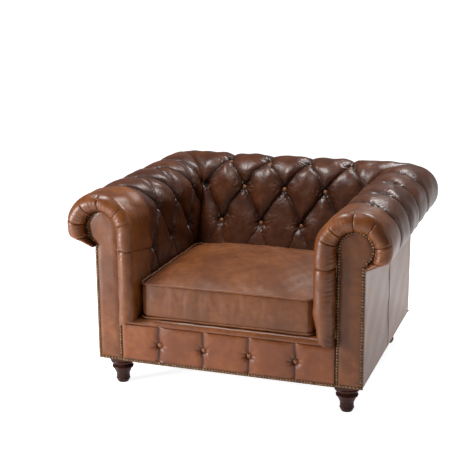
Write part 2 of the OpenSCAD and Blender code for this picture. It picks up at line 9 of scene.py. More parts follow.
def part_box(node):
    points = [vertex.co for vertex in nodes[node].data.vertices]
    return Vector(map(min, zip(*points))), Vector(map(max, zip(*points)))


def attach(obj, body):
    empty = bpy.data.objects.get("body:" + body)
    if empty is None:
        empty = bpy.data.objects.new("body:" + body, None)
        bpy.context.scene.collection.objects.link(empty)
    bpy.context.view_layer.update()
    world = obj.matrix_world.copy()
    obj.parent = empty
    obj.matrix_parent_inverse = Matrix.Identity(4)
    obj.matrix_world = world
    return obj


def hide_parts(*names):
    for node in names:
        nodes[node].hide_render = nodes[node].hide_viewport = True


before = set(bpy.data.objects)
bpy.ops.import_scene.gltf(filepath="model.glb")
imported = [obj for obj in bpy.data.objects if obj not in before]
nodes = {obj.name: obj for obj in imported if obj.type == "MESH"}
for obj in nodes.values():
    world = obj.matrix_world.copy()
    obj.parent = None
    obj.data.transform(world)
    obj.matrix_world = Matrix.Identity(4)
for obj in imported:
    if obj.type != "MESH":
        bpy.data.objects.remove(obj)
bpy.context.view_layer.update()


# ---------- Camera, floor and light ----------
# The camera stands ahead of the chair and to its right, a little above it, with a long lens.
# The floor is pale and plain. One soft lamp hangs over the seat, one stands above and behind, one
# low on the left, and one on the right skims the outside of the arm.
camera_place = Vector((1.20701, -3.81169, 1.56286))
camera_turn, camera_dip, camera_tip = -0.343, -0.253, -0.009
ahead = Vector((
    math.sin(camera_turn) * math.cos(camera_dip),
    math.cos(camera_turn) * math.cos(camera_dip),
    math.sin(camera_dip),
))
level = Vector((math.cos(camera_turn), -math.sin(camera_turn), 0))
upright = level.cross(ahead)
camera_right = level * math.cos(camera_tip) + upright * math.sin(camera_tip)
camera_up = upright * math.cos(camera_tip) - level * math.sin(camera_tip)
camera = bpy.data.objects.new("camera", bpy.data.cameras.new("camera"))
camera.data.lens = 86.56
camera.data.sensor_width = 36
camera.matrix_world = (
    Matrix.Translation(camera_place)
    @ Matrix((camera_right, camera_up, -ahead)).transposed().to_4x4()
)
bpy.context.scene.collection.objects.link(camera)
bpy.context.scene.camera = camera



def seen_brighter(tree, socket, lighting, seen):
    """Sets how strongly a white backdrop lights the chair, and how bright it looks itself."""
    rays = tree.nodes.new("ShaderNodeLightPath")
    level = tree.nodes.new("ShaderNodeMapRange")
    level.inputs["To Min"].default_value = lighting
    level.inputs["To Max"].default_value = seen
    tree.links.new(rays.outputs["Is Camera Ray"], level.inputs["Value"])
    tree.links.new(level.outputs["Result"], socket)


world = bpy.data.worlds.new("studio")
world.use_nodes = True
backdrop = world.node_tree.nodes["Background"]
backdrop.inputs["Color"].default_value = (1, 1, 1, 1)
seen_brighter(world.node_tree, backdrop.inputs["Strength"], 0.2, 1.0)
bpy.context.scene.world = world
bpy.context.scene.view_settings.view_transform = "Standard"

for name, place, aim, size, power in (
    ("key_lamp", (-0.9, -0.5, 3.0), (0, -0.1, 0.4), 0.9, 92),
    ("top_lamp", (0.7, 1.5, 2.6), (0, 0, 0.5), 0.8, 48),
    ("low_lamp", (-1.9, -1.8, 0.62), (-0.4, -0.4, 0.4), 0.7, 66),
    ("side_lamp", (3.4, 0.9, 1.4), (0.4, 0, 0.4), 1.2, 12),
):
    lamp = bpy.data.objects.new(name, bpy.data.lights.new(name, "AREA"))
    lamp.data.size = size
    lamp.data.energy = power
    lamp.location = place
    lamp.rotation_euler = (Vector(aim) - Vector(place)).to_track_quat("-Z", "Y").to_euler()
    bpy.context.scene.collection.objects.link(lamp)

floor_form = bmesh.new()
bmesh.ops.create_grid(floor_form, x_segments=2, y_segments=2, size=60)
floor = bpy.data.objects.new("floor", bpy.data.meshes.new("floor"))
floor_form.to_mesh(floor.data)
floor_form.free()
bpy.context.scene.collection.objects.link(floor)
floor_paint = bpy.data.materials.new("floor_paint")
floor_paint.use_nodes = True
floor_shader = floor_paint.node_tree.nodes["Principled BSDF"]
floor_shader.inputs["Base Color"].default_value = (0.85, 0.85, 0.85, 1)
floor_shader.inputs["Emission Color"].default_value = (1, 1, 1, 1)
floor_shader.inputs["Roughness"].default_value = 0.9
seen_brighter(floor_paint.node_tree, floor_shader.inputs["Emission Strength"], 0.5, 0.86)
floor.data.materials.append(floor_paint)


# ---------- Hardwood frame ----------
# Rails, posts, scroll boards, corner blocks and tack rails are sawn beech, planed and left bare.
# The grain runs along each piece. They are glued and screwed, and all of them end up covered.
class Wire:
    """An output of a shader node. Arithmetic on it adds Math nodes."""

    def __init__(self, tree, socket=None):
        self.tree, self.socket = tree, socket

    def node(self, kind, settings=None, sockets=None, out=0):
        made = self.tree.nodes.new("ShaderNode" + kind)
        for key, value in (settings or {}).items():
            if key == "stops":
                ramp = made.color_ramp.elements
                while len(ramp) < len(value):
                    ramp.new(0.5)
                for stop, (at, colour) in zip(ramp, value):
                    stop.position, stop.color = at, colour
            else:
                setattr(made, key, value)
        for key, value in (sockets or {}).items():
            if isinstance(value, Wire):
                self.tree.links.new(value.socket, made.inputs[key])
            else:
                made.inputs[key].default_value = value
        return Wire(self.tree, made.outputs[out])

    def maths(self, operation, *values, clamp=False):
        return self.node("Math", {"operation": operation, "use_clamp": clamp}, dict(enumerate(values)))

    def __add__(self, other):
        return self.maths("ADD", self, other)

    __radd__ = __add__

    def __mul__(self, other):
        return self.maths("MULTIPLY", self, other)

    __rmul__ = __mul__

    def __sub__(self, other):
        return self.maths("SUBTRACT", self, other)

    def __rsub__(self, other):
        return self.maths("SUBTRACT", other, self)

    def __pow__(self, other):
        return self.maths("POWER", self, other)

    def held(self, low, high):
        """The value stretched so that low becomes 0 and high 1, and held between them."""
        return self.node(
            "MapRange", {"clamp": True},
            {"Value": self, "From Min": low, "From Max": high, "To Min": 0.0, "To Max": 1.0},
        )

    def blend(self, first, second):
        """The first colour where the value is 0 and the second where it is 1."""
        return self.node("Mix", {"data_type": "RGBA"}, {0: self, 6: first, 7: second}, out=2)


def tint(red, green, blue):
    """A colour on the 0 to 255 scale of a paint chart, as a linear colour."""
    return tuple(
        c / 12.92 if c <= 0.04045 else ((c + 0.055) / 1.055) ** 2.4
        for c in (red / 255, green / 255, blue / 255)
    ) + (1.0,)


def new_finish(name):
    """A new material, its shader node, and a wire to start its nodes from."""
    finish = bpy.data.materials.new(name)
    finish.use_nodes = True
    return finish, finish.node_tree.nodes["Principled BSDF"], Wire(finish.node_tree)


def join_up(wire, shader, colour, roughness, height=None, depth=0.001, strength=1.0):
    """Links colour, roughness and the height of the surface to the shader."""
    wire.tree.links.new(colour.socket, shader.inputs["Base Color"])
    wire.tree.links.new(roughness.socket, shader.inputs["Roughness"])
    if height is not None:
        bump = wire.node("Bump", None, {"Height": height, "Distance": depth, "Strength": strength})
        wire.tree.links.new(bump.socket, shader.inputs["Normal"])


def wood_finish(name, pale, dark, along, gloss, shine=0.5):
    """Planed timber whose grain runs along one axis: 0, 1 or 2."""
    finish, shader, wire = new_finish(name)
    shader.inputs["Specular IOR Level"].default_value = shine
    place = wire.node("TexCoord", out="Object")
    stretch = [38.0, 38.0, 38.0]
    stretch[along] = 2.2
    fibres = wire.node("Mapping", None, {"Vector": place, "Scale": stretch})
    rings = wire.node("TexNoise", None, {"Vector": fibres, "Scale": 1.0, "Detail": 6.0, "Distortion": 0.6})
    fine = wire.node("Mapping", None, {"Vector": place, "Scale": [v * 9 for v in stretch]})
    pores = wire.node("TexNoise", None, {"Vector": fine, "Scale": 1.0, "Detail": 3.0})
    figure = (rings * 0.75 + pores * 0.25).held(0.32, 0.68)
    join_up(
        wire, shader, figure.blend(pale, dark), figure * 0.14 + gloss,
        rings * 0.4 + pores * 0.6, 0.0006, 0.5,
    )
    return finish


def paint(finish, *names):
    """Gives CAD nodes a finish."""
    for name in names:
        nodes[name].data.materials.clear()
        nodes[name].data.materials.append(finish)


beech = (tint(206, 168, 120), tint(164, 118, 74))
paint(
    wood_finish("beech_across", *beech, 0, 0.55),
    "front_rail", "back_rail", "back_top_rail", "back_tack_rail",
)
paint(
    wood_finish("beech_along", *beech, 1, 0.55), "left_side_rail", "right_side_rail",
    "left_arm_rail", "right_arm_rail", "left_arm_tack_rail", "right_arm_tack_rail",
)
paint(
    wood_finish("beech_upright", *beech, 2, 0.55), "corner_blocks", "left_front_post",
    "right_front_post", "left_rear_post", "right_rear_post", "left_scroll_board", "right_scroll_board",
)


# ---------- Screws, springs, clips, bolts and plates ----------
# Zinc-plated screws hold the corner blocks. Sinuous seat springs of hard-drawn wire run from
# rail to rail in folded clips. Each foot screws onto a hanger bolt through a stamped plate.
def steel_finish(name, pale, dark, roughness):
    """Drawn or plated steel with fine scratches and darker patches."""
    finish, shader, wire = new_finish(name)
    shader.inputs["Metallic"].default_value = 1.0
    place = wire.node("TexCoord", out="Object")
    patches = wire.node("TexNoise", None, {"Vector": place, "Scale": 60.0, "Detail": 5.0})
    lines = wire.node("Mapping", None, {"Vector": place, "Scale": (900.0, 90.0, 900.0)})
    scratches = wire.node("TexNoise", None, {"Vector": lines, "Scale": 1.0, "Detail": 2.0})
    join_up(
        wire, shader, patches.held(0.35, 0.7).blend(pale, dark),
        patches * 0.2 + scratches * 0.15 + roughness, scratches, 0.0002, 0.4,
    )
    return finish


zinc = steel_finish("zinc_plate", tint(196, 196, 190), tint(150, 152, 150), 0.22)
spring_wire = steel_finish("oiled_spring_wire", tint(92, 90, 90), tint(52, 48, 46), 0.3)
paint(zinc, "corner_screws", "foot_bolts")
paint(spring_wire, "seat_springs", "spring_clips", "foot_plates")


# ---------- Webbing and dust cover ----------
# Woven jute straps close the open sides and the back behind the stuffing. Underneath, a black
# spun cloth is tacked to the rails to keep dust out.
def woven_finish(name, pale, dark, threads, roughness, bumpiness):
    """Plain weave: threads is how many cross each metre."""
    finish, shader, wire = new_finish(name)
    place = wire.node("TexCoord", out="Object")
    spread = wire.node("SeparateXYZ", None, {0: place})
    sides = [Wire(wire.tree, spread.socket.node.outputs[i]) for i in range(3)]
    turns = [side * (threads * math.pi) for side in sides]
    waves = [wire.maths("ABSOLUTE", wire.maths("SINE", turn)) for turn in turns]
    weave = (waves[0] + waves[1] + waves[2]) * 0.4
    slubs = wire.node("TexNoise", None, {"Vector": place, "Scale": 180.0, "Detail": 3.0})
    join_up(
        wire, shader, (weave * 0.6 + slubs * 0.5).held(0.35, 0.85).blend(dark, pale),
        slubs * 0.1 + roughness, weave + slubs * 0.5, bumpiness, 0.8,
    )
    return finish


jute = woven_finish("jute_straps", tint(196, 164, 116), tint(122, 94, 58), 420, 0.85, 0.0006)
paint(jute, "left_arm_webbing", "right_arm_webbing", "back_webbing")
paint(woven_finish("black_dust_cloth", tint(52, 52, 54), tint(18, 18, 20), 1100, 0.9, 0.0002), "dust_cover")


# ---------- Deck and edge roll ----------
# Over the springs lies a deck of bonded cotton felt under a strong decking cloth, with a firm
# roll along its front edge. The deck shows only when the loose cushion is lifted.
def new_piece(name, form, finish, body="chair", flat=False):
    """Makes an object of a bmesh, finishes it, and lets it ride on a body."""
    piece = bpy.data.objects.new(name, bpy.data.meshes.new(name))
    form.to_mesh(piece.data)
    form.free()
    bpy.context.scene.collection.objects.link(piece)
    piece.data.polygons.foreach_set("use_smooth", [not flat] * len(piece.data.polygons))
    piece.data.materials.append(finish)
    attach(piece, body)
    return piece


def waviness(points, length, seed):
    """Smooth seeded ups and downs, about -1 to 1, of roughly that length, at an array of points."""
    draw = np.random.default_rng(seed)
    total = np.zeros(len(points))
    for _ in range(7):
        way = draw.normal(size=points.shape[1])
        way *= 2 * math.pi / length * draw.uniform(0.6, 1.4) / np.linalg.norm(way)
        total += np.sin(points @ way + draw.uniform(0, 2 * math.pi))
    return total / 2.6


def move_points(form, change):
    """Puts each point of a bmesh where change, which takes and returns an array, says."""
    moved = change(np.array([v.co for v in form.verts]))
    for vert, place in zip(form.verts, moved):
        vert.co = place


def padded_block(low, high, cuts, edge, sag, seed):
    """A block with rounded edges whose faces wander inwards by up to sag."""
    low, high = np.array(low), np.array(high)
    form = bmesh.new()
    bmesh.ops.create_cube(form, size=1)
    bmesh.ops.subdivide_edges(form, edges=form.edges, cuts=cuts, use_grid_fill=True)

    def shape(points):
        half = (high - low) / 2
        where = points * (high - low)
        core = np.clip(where, edge - half, half - edge)
        out = where - core
        reach = np.linalg.norm(out, axis=1, keepdims=True)
        push = np.where(reach > 0, edge / np.maximum(reach, 1e-9), 0)
        where = core + out * push
        dip = (1 + waviness(where, 0.16, seed)) / 2 * sag
        where -= out / np.maximum(reach, 1e-9) * dip[:, None]
        return where + (low + high) / 2

    move_points(form, shape)
    bmesh.ops.recalc_face_normals(form, faces=form.faces)
    return form


def foam_finish():
    """Upholstery foam and felt: pale, matt and full of fine pores."""
    finish, shader, wire = new_finish("stuffing")
    place = wire.node("TexCoord", out="Object")
    pores = wire.node("TexVoronoi", None, {"Vector": place, "Scale": 420.0})
    cloud = wire.node("TexNoise", None, {"Vector": place, "Scale": 22.0, "Detail": 4.0})
    shade = (pores * 0.5 + cloud * 0.5).held(0.2, 0.7)
    join_up(
        wire, shader, shade.blend(tint(198, 180, 128), tint(236, 222, 180)),
        pores * 0.1 + 0.82, pores, 0.0008, 0.7,
    )
    return finish


stuffing = foam_finish()
decking = woven_finish("decking_cloth", tint(96, 66, 48), tint(58, 38, 28), 900, 0.85, 0.0003)
deck_low, deck_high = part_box("deck_pad")
deck = new_piece(
    "deck", padded_block(deck_low, deck_high, 40, 0.008, 0.002, 3), decking
)
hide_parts("deck_pad")
edge_low, edge_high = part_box("edge_roll")
edge_roll = new_piece(
    "front_edge_roll", padded_block(edge_low, edge_high, 24, 0.01, 0.001, 4), stuffing
)
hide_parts("edge_roll")


# ---------- Leather ----------
# Pull-up cowhide, aniline dyed and waxed: a fine pebbled grain, cloudy patches, and paler where it
# is stretched and rubbed. Painted shade makes it nearly black deep in the folds.
def leather_finish(name, deep, middle, rubbed, roughness):
    """Waxed hide. Each point's "fold" says how deep in a fold it lies, from 0 to 1, and how dark its painted
    shade is.
    """
    finish, shader, wire = new_finish(name)
    shader.inputs["Coat Weight"].default_value = 0.08
    shader.inputs["Coat Roughness"].default_value = 0.22
    shader.inputs["Specular IOR Level"].default_value = 0.3
    place = wire.node("TexCoord", out="Object")
    clouds = wire.node("TexNoise", None, {"Vector": place, "Scale": 7.0, "Detail": 5.0, "Roughness": 0.6})
    mottle = wire.node("TexNoise", None, {"Vector": place, "Scale": 42.0, "Detail": 6.0, "Roughness": 0.65})
    pebbles = wire.node("TexVoronoi", {"feature": "DISTANCE_TO_EDGE"}, {"Vector": place, "Scale": 520.0})
    pores = wire.node("TexNoise", None, {"Vector": place, "Scale": 1300.0, "Detail": 2.0})
    veins = wire.node("TexNoise", None, {"Vector": place, "Scale": 90.0, "Detail": 3.0, "Distortion": 1.8})
    fold = wire.node("Attribute", {"attribute_name": "fold"}, out="Fac")
    shade = (clouds * 0.62 + mottle * 0.38).held(0.3, 0.7)
    body = shade.blend(deep, middle)
    rub = (1 - fold.held(0.0, 0.25)) * mottle.held(0.35, 0.75) * clouds.held(0.4, 0.7) * 0.6
    body = rub.blend(body, rubbed)
    # Painted shade: the hide is darkened towards nearly black where the fold mark is high, in creases, seams
    # and recesses.
    fold_shade_colour = tuple(c * 0.22 for c in deep[:3]) + (1.0,)
    body = (fold.held(0.12, 0.85) * 0.92).blend(body, fold_shade_colour)
    crease = veins.held(0.47, 0.5) * (1 - veins.held(0.5, 0.53))
    rough = mottle * 0.16 + clouds * 0.1 + fold * 0.12 + roughness
    height = pebbles.held(0.0, 0.35) * 0.5 + pores * 0.25 - crease * 0.35
    join_up(wire, shader, body, rough, height, 0.0004, 0.32)
    return finish


# pad_hide_painted_shade is the waxed hide made darker for the arm and back pads: painted shade, as these
# pads lie in shade.
hide, pad_hide_painted_shade, border_hide, cushion_hide, button_hide = (
    leather_finish(name, tint(*deep), tint(*middle), tint(*rubbed), roughness)
    for name, deep, middle, rubbed, roughness in (
        ("waxed_hide", (74, 36, 12), (106, 56, 20), (138, 82, 38), 0.24),
        ("pad_hide_painted_shade", (50, 22, 8), (78, 38, 15), (110, 62, 30), 0.24),
        ("front_border_hide", (88, 42, 14), (116, 60, 22), (138, 80, 38), 0.24),
        ("cushion_hide", (76, 38, 13), (106, 58, 23), (130, 80, 42), 0.3),
        ("button_hide", (96, 54, 26), (128, 78, 42), (160, 108, 70), 0.25),
    )
)


# ---------- Arm and back pads ----------
# Each arm and the back is a pad of stuffing under one leather cover, drawn down by buttons set
# in staggered rows. Between the buttons the leather folds into diamonds, and from the last
# row straight tucks run round the roll to the tack line and down behind the cushion.
roll_r = 0.126                # radius of the rolls
roll_x, roll_y, roll_z = 0.459, 0.374, 0.604
inner_x, inner_y = roll_x - roll_r, roll_y - roll_r
lean = math.radians(19.8)     # of the inside back
mitre_z = roll_z + roll_r * math.tan(lean / 2)
pad_bottom = 0.262
tack_drop = 0.079             # the tack line lies this far below a roll's centre
tack_out = 0.031              # and this far out from it
leave_angle = math.radians(199.3)   # where the roll's underside leaves the circle
arm_front = -0.320            # seam between an arm's front roll and its pad
fold_depth, button_depth = 0.026, 0.030
puff = -0.001


def pad_outline(tilt):
    """Places up a pad's outline: how far up it, how far out and up from the roll's centre."""
    foot = (pad_bottom - roll_z - roll_r * math.sin(tilt)) / math.cos(tilt)
    turn_end = (leave_angle - tilt) * roll_r
    leave = Vector((-roll_r * math.cos(leave_angle), roll_r * math.sin(leave_angle)))
    tack = Vector((tack_out, -tack_drop))
    end = turn_end + (tack - leave).length
    run = np.arange(foot, end + 5e-4, 1e-3)
    angle = tilt + np.clip(run, 0, turn_end) / roll_r
    out = -roll_r * np.cos(angle) + np.minimum(run, 0) * math.sin(tilt)
    up = roll_r * np.sin(angle) + np.minimum(run, 0) * math.cos(tilt)
    past = np.clip((run - turn_end) / (tack - leave).length, 0, 1)
    out, up = out + past * (tack.x - leave.x), up + past * (tack.y - leave.y)
    window = np.exp(-((np.arange(-30, 31) / 11.0) ** 2) / 2)
    window /= window.sum()

    def soften(values):
        before = values[0] + (values[1] - values[0]) * np.arange(-30, 0)
        after = values[-1] + (values[-1] - values[-2]) * np.arange(1, 31)
        return np.convolve(np.concatenate([before, values, after]), window, "valid")

    out, up = soften(out), soften(up)
    slope_out, slope_up = np.gradient(out), np.gradient(up)
    length = np.hypot(slope_out, slope_up)
    return run, out, up, -slope_up / length, slope_out / length


arm_outline, back_outline = pad_outline(0.0), pad_outline(lean)


def on_outline(outline, run):
    """How far out and up an outline is at places up it, and its outward normal there."""
    return [np.interp(run, outline[0], column) for column in outline[1:]]


def pulled(gap, reach):
    """How far leather is pulled down at a gap from a fold: 1 in it, and 0 from its reach on."""
    return 1 - np.sqrt(1 - (1 - np.clip(gap / reach, 0, 1)) ** 2)


def along_fold(run, along, fold):
    """The share of the way along a fold nearest to each point, and the point of the fold there."""
    run0, along0, run1, along1 = fold[:4]
    step_run, step_along = run1 - run0, along1 - along0
    share = ((run - run0) * step_run + (along - along0) * step_along) / (step_run ** 2 + step_along ** 2)
    share = np.clip(share, 0, 1)
    return share, run0 + share * step_run, along0 + share * step_along


def puckers(away, rise, peak, fade, turns):
    """Small pleats that fan out round a button, highest at their peak."""
    near = np.exp(-np.clip(away - peak, 0, 1) / fade) * np.clip((away - rise) / 0.006, 0, 1)
    return near * np.cos(turns)


def tuft(run, along, folds, buttons, seed):
    """How deep the leather is drawn in, and how dark its painted fold shade is, at places up and
    along a pad. A fold is (place up, along, the same at its other end, depth and reach at each end)."""
    flat = np.stack([run, along], 1)
    total, line = np.zeros(len(run)), np.zeros(len(run))
    for fold in folds:
        depth0, depth1, reach0, reach1 = fold[4:]
        share, foot_run, foot_along = along_fold(run, along, fold)
        away = np.hypot(run - foot_run, along - foot_along)
        depth = (depth0 + (depth1 - depth0) * share) * (0.74 + 0.26 * np.abs(2 * share - 1) ** 1.5)
        total += (depth * pulled(away, reach0 + (reach1 - reach0) * share)) ** 4
        # A thin dark line of painted shade along the bottom of each crease.
        line = np.maximum(line, np.exp(-((away / 0.0024) ** 2)) * np.clip(depth / 0.007, 0, 1))
    near = np.full(len(run), 1.0)
    for at_run, at_along in buttons:
        away = np.hypot(run - at_run, along - at_along)
        near = np.minimum(near, away)
        total += (button_depth * pulled(away - 0.007, 0.042)) ** 4
    drawn = np.minimum(total ** 0.25, button_depth)
    for number, (at_run, at_along) in enumerate(buttons):
        away = np.hypot(run - at_run, along - at_along)
        turns = 9 * np.arctan2(along - at_along, run - at_run) + number
        turns = turns + 3 * waviness(flat, 0.04, seed + 5)
        drawn += 0.0026 * puckers(away, 0.009, 0.014, 0.022, turns)
    free = 1 - np.exp(-((near / 0.03) ** 2))
    drawn += 0.0012 * free * waviness(flat, 0.085, seed + 2)
    return drawn, np.clip(np.maximum(drawn / button_depth, 0.45 * line), 0, 1)


def meander(run, along, keep, buttons, seed):
    """Shifts up and along the leather that make its folds wander a little."""
    near = np.full(len(run), 1.0)
    for at_run, at_along in buttons:
        near = np.minimum(near, np.hypot(run - at_run, along - at_along))
    free = 0.004 * keep * (1 - np.exp(-((near / 0.03) ** 2)))
    flat = np.stack([run, along], 1)
    return run + free * waviness(flat, 0.1, seed), along + free * waviness(flat, 0.1, seed + 1)


def snap_to_folds(run, along, folds, cell):
    """Draws the points nearest a fold onto it, so that the fold is crisp."""
    best = np.full(len(run), cell)
    to_run, to_along = run.copy(), along.copy()
    for fold in folds:
        _, foot_run, foot_along = along_fold(run, along, fold)
        away = np.hypot(run - foot_run, along - foot_along)
        closer = away < best
        best = np.where(closer, away, best)
        to_run, to_along = np.where(closer, foot_run, to_run), np.where(closer, foot_along, to_along)
    return to_run, to_along


def lay_sheet(rows, columns, place, outward):
    """A grid of leather. place turns shares (0 to 1) of its two sides into points and folds."""
    form = bmesh.new()
    bmesh.ops.create_grid(form, x_segments=rows, y_segments=columns, size=0.5)
    shares = np.array([v.co[:2] for v in form.verts]) + 0.5
    points, folds = place(shares[:, 0], shares[:, 1])
    # Each point's fold mark, which also sets how much painted shade the leather gets.
    mark = form.verts.layers.float.new("fold")
    for vert, point, fold in zip(form.verts, points, folds):
        vert.co = point
        vert[mark] = fold
    form.normal_update()
    if sum((face.normal.dot(Vector(outward)) for face in form.faces)) < 0:
        bmesh.ops.reverse_faces(form, faces=form.faces)
    return form


def thicken(piece, thickness):
    """Gives a sheet its thickness, inwards."""
    wall = piece.modifiers.new("thickness", "SOLIDIFY")
    wall.thickness = thickness
    wall.offset = -1
    wall.use_even_offset = False


def straight_folds(places, start, end, depths, reaches):
    """Tucks that run straight from a row of buttons to a pad's edge."""
    return [(start, at, end, at, *depths, *reaches) for at in places]


def diamond_folds(rows, pitch):
    """Folds between each button and its neighbours in the next row."""
    return [
        (run0, at0, run1, at1, fold_depth, fold_depth, 0.066, 0.066)
        for (run0, row0), (run1, row1) in zip(rows, rows[1:])
        for at0 in row0 for at1 in row1 if abs(at0 - at1) < 0.75 * pitch
    ]


arm_pitch, back_pitch = 0.180, 0.168
arm_rows = [
    (-0.116, [arm_front + 0.055 + i * arm_pitch for i in range(3)]),
    (0.026, [arm_front + 0.0275 + (i + 0.5) * arm_pitch for i in range(3)]),
    (0.226, [arm_front + i * arm_pitch for i in range(4)]),
]
back_rows = [
    (-0.168, [i * back_pitch for i in (-1.5, -0.5, 0.5, 1.5)]),
    (-0.026, [i * back_pitch for i in (-1, 0, 1)]),
    (0.116, [i * back_pitch for i in (-1.5, -0.5, 0.5, 1.5)]),
]
arm_corner, back_corner = 0.022, -0.022      # place up each outline of the button in the corner


def splayed_folds(places, start, spread):
    """The two short folds that splay down from each button of the lowest row."""
    return [
        (start, at, start - 0.12, at + side * spread, 0.015, 0.003, 0.05, 0.03)
        for at in places for side in (-1, 1)
    ]


arm_folds = (
    diamond_folds([
        (arm_rows[0][0], arm_rows[0][1] + [0.275]),
        (arm_rows[1][0], arm_rows[1][1] + [0.250]),
        arm_rows[2],
    ], arm_pitch)
    + straight_folds(arm_rows[2][1], arm_rows[2][0], arm_outline[0][-1], (0.021, 0.006), (0.066, 0.035))
    + splayed_folds(arm_rows[0][1], arm_rows[0][0], 0.05)
    + [(arm_rows[0][0], arm_rows[0][1][0], -0.078, -0.466, 0.009, 0.005, 0.03, 0.014)]
)
arm_buttons = [(run, at) for run, row in arm_rows for at in row] + [(arm_corner, inner_y)]
back_folds = (
    diamond_folds([
        back_rows[0],
        (back_rows[1][0], back_rows[1][1] + [-inner_x, inner_x]),
        back_rows[2],
    ], back_pitch)
    + straight_folds(back_rows[2][1], back_rows[2][0], back_outline[0][-1], (0.021, 0.006), (0.066, 0.035))
    + splayed_folds(back_rows[0][1], back_rows[0][0], 0.05)
)
back_buttons = [(run, at) for run, row in back_rows for at in row] + [
    (back_corner, side * inner_x) for side in (-1, 1)
]


def mitre_depth(run, corner, far):
    """How deep the leather is drawn in along the mitre between two pads."""
    pit = (button_depth - 0.014) * pulled(np.abs(run - corner) - 0.007, 0.06)
    return 0.014 + pit - 0.008 * np.clip((run - 0.12) / (far - 0.12), 0, 1)


def with_mitre(drawn, gap, run, corner, far):
    """Lets the depth run out to the mitre's own where the pads meet."""
    edge = mitre_depth(run, corner, far) * pulled(gap, 0.055)
    keep = np.clip(gap / 0.03, 0, 1)
    return (edge ** 4 + (np.maximum(drawn, 0) * keep ** 0.5) ** 4) ** 0.25 + np.minimum(drawn, 0) * keep


def fade_out(run, outline, over=0.02):
    """1 over a pad, and down to 0 at its tack line."""
    return np.clip((outline[0][-1] - run) / over, 0, 1) ** 0.5


def arm_end(out, up):
    """How far back an arm's pad reaches at a place out and up from the roll's centre."""
    x, z = roll_x + out, roll_z + up
    face_y = roll_y + ((z - roll_z) * math.sin(lean) - roll_r) / math.cos(lean)
    start = np.where((z >= mitre_z) | (x > roll_x), inner_y, face_y)
    return start + (x - inner_x) + 0.0015


def arm_place(side, share_run, share_along, cell, sink):
    """A point of an arm's leather, or of the stuffing that lies sunk under it."""
    run = arm_outline[0][0] + share_run * (arm_outline[0][-1] - arm_outline[0][0])
    out, up, turn_out, turn_up = on_outline(arm_outline, run)
    edge = mitre_depth(run, arm_corner, arm_outline[0][-1]) * fade_out(run, arm_outline) + sink
    end = arm_end(out - turn_out * edge, up - turn_up * edge)
    along = arm_front + share_along * (end - arm_front)
    if cell:
        inside = (share_run > 0.01) & (share_run < 0.99) & (share_along > 0.01) & (share_along < 0.97)
        new_run, new_along = snap_to_folds(run, along, arm_folds, cell)
        run, along = np.where(inside, new_run, run), np.where(inside, new_along, along)
        out, up, turn_out, turn_up = on_outline(arm_outline, run)
    drawn, fold = tuft(run, along, arm_folds, arm_buttons, 20 + side)
    keep = np.clip((end - along) / 0.05, 0, 1) * fade_out(run, arm_outline, 0.05)
    run, along = meander(run, along, keep, arm_buttons, 30 + side)
    out, up, turn_out, turn_up = on_outline(arm_outline, run)
    drawn = with_mitre(drawn, (end - along) * 0.72, run, arm_corner, arm_outline[0][-1])
    drawn = (drawn - puff) * fade_out(run, arm_outline) + sink
    points = np.stack([
        side * (roll_x + out - turn_out * drawn), along, roll_z + up - turn_up * drawn
    ], 1)
    # The fold mark is also raised over the last 6 mm before the mitre: painted shade where the pads meet.
    return points, np.maximum(fold, 1 - np.clip((end - along) / 0.006, 0, 1))


def back_place(share_run, share_along, cell, sink):
    """A point of the back's leather, or of the stuffing that lies sunk under it."""
    run = back_outline[0][0] + share_run * (back_outline[0][-1] - back_outline[0][0])
    out, up, turn_out, turn_up = on_outline(back_outline, run)
    edge = mitre_depth(run, back_corner, back_outline[0][-1]) * fade_out(run, back_outline) + sink
    y, z = roll_y + out - turn_out * edge, roll_z + up - turn_up * edge
    face_y = roll_y + ((z - roll_z) * math.sin(lean) - roll_r) / math.cos(lean)
    start = np.where((z >= mitre_z) | (y > roll_y), inner_y, face_y)
    reach = inner_x + (y - start) + 0.0015
    along = (2 * share_along - 1) * reach
    if cell:
        inside = (share_run > 0.01) & (share_run < 0.99) & (share_along > 0.015) & (share_along < 0.985)
        new_run, new_along = snap_to_folds(run, along, back_folds, cell)
        run, along = np.where(inside, new_run, run), np.where(inside, new_along, along)
        out, up, turn_out, turn_up = on_outline(back_outline, run)
    drawn, fold = tuft(run, along, back_folds, back_buttons, 40)
    keep = np.clip((reach - np.abs(along)) / 0.05, 0, 1) * fade_out(run, back_outline, 0.05)
    run, along = meander(run, along, keep, back_buttons, 44)
    out, up, turn_out, turn_up = on_outline(back_outline, run)
    drawn = with_mitre(drawn, (reach - np.abs(along)) * 0.72, run, back_corner, back_outline[0][-1])
    drawn = (drawn - puff) * fade_out(run, back_outline) + sink
    points = np.stack([along, roll_y + out - turn_out * drawn, roll_z + up - turn_up * drawn], 1)
    # The fold mark is also raised over the last 6 mm of each side: painted shade where the back meets the
    # arms.
    return points, np.maximum(fold, 1 - np.clip((reach - np.abs(along)) / 0.006, 0, 1))


leather_t = 0.003
for side, word in ((-1, "left"), (1, "right")):
    cover = new_piece(
        word + "_arm_leather",
        lay_sheet(
            215, 190, lambda s, t: arm_place(side, s, t, 0.0019, 0.0), (-side, 0, 0.8)
        ), pad_hide_painted_shade,
    )
    thicken(cover, leather_t)
    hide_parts(word + "_arm_cover")
    pad = new_piece(
        word + "_arm_stuffing",
        lay_sheet(90, 80, lambda s, t: arm_place(side, s, t, 0, 0.009), (-side, 0, 0.8)),
        stuffing,
    )
    thicken(pad, 0.02)
    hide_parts(word + "_arm_foam")

cover = new_piece(
    "back_leather",
    lay_sheet(225, 270, lambda s, t: back_place(s, t, 0.0019, 0.0), (0, -1, 0.8)),
    pad_hide_painted_shade,
)
thicken(cover, leather_t)
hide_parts("back_cover")
pad = new_piece(
    "back_stuffing",
    lay_sheet(90, 110, lambda s, t: back_place(s, t, 0, 0.009), (0, -1, 0.8)),
    stuffing,
)
thicken(pad, 0.02)
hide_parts("back_foam")


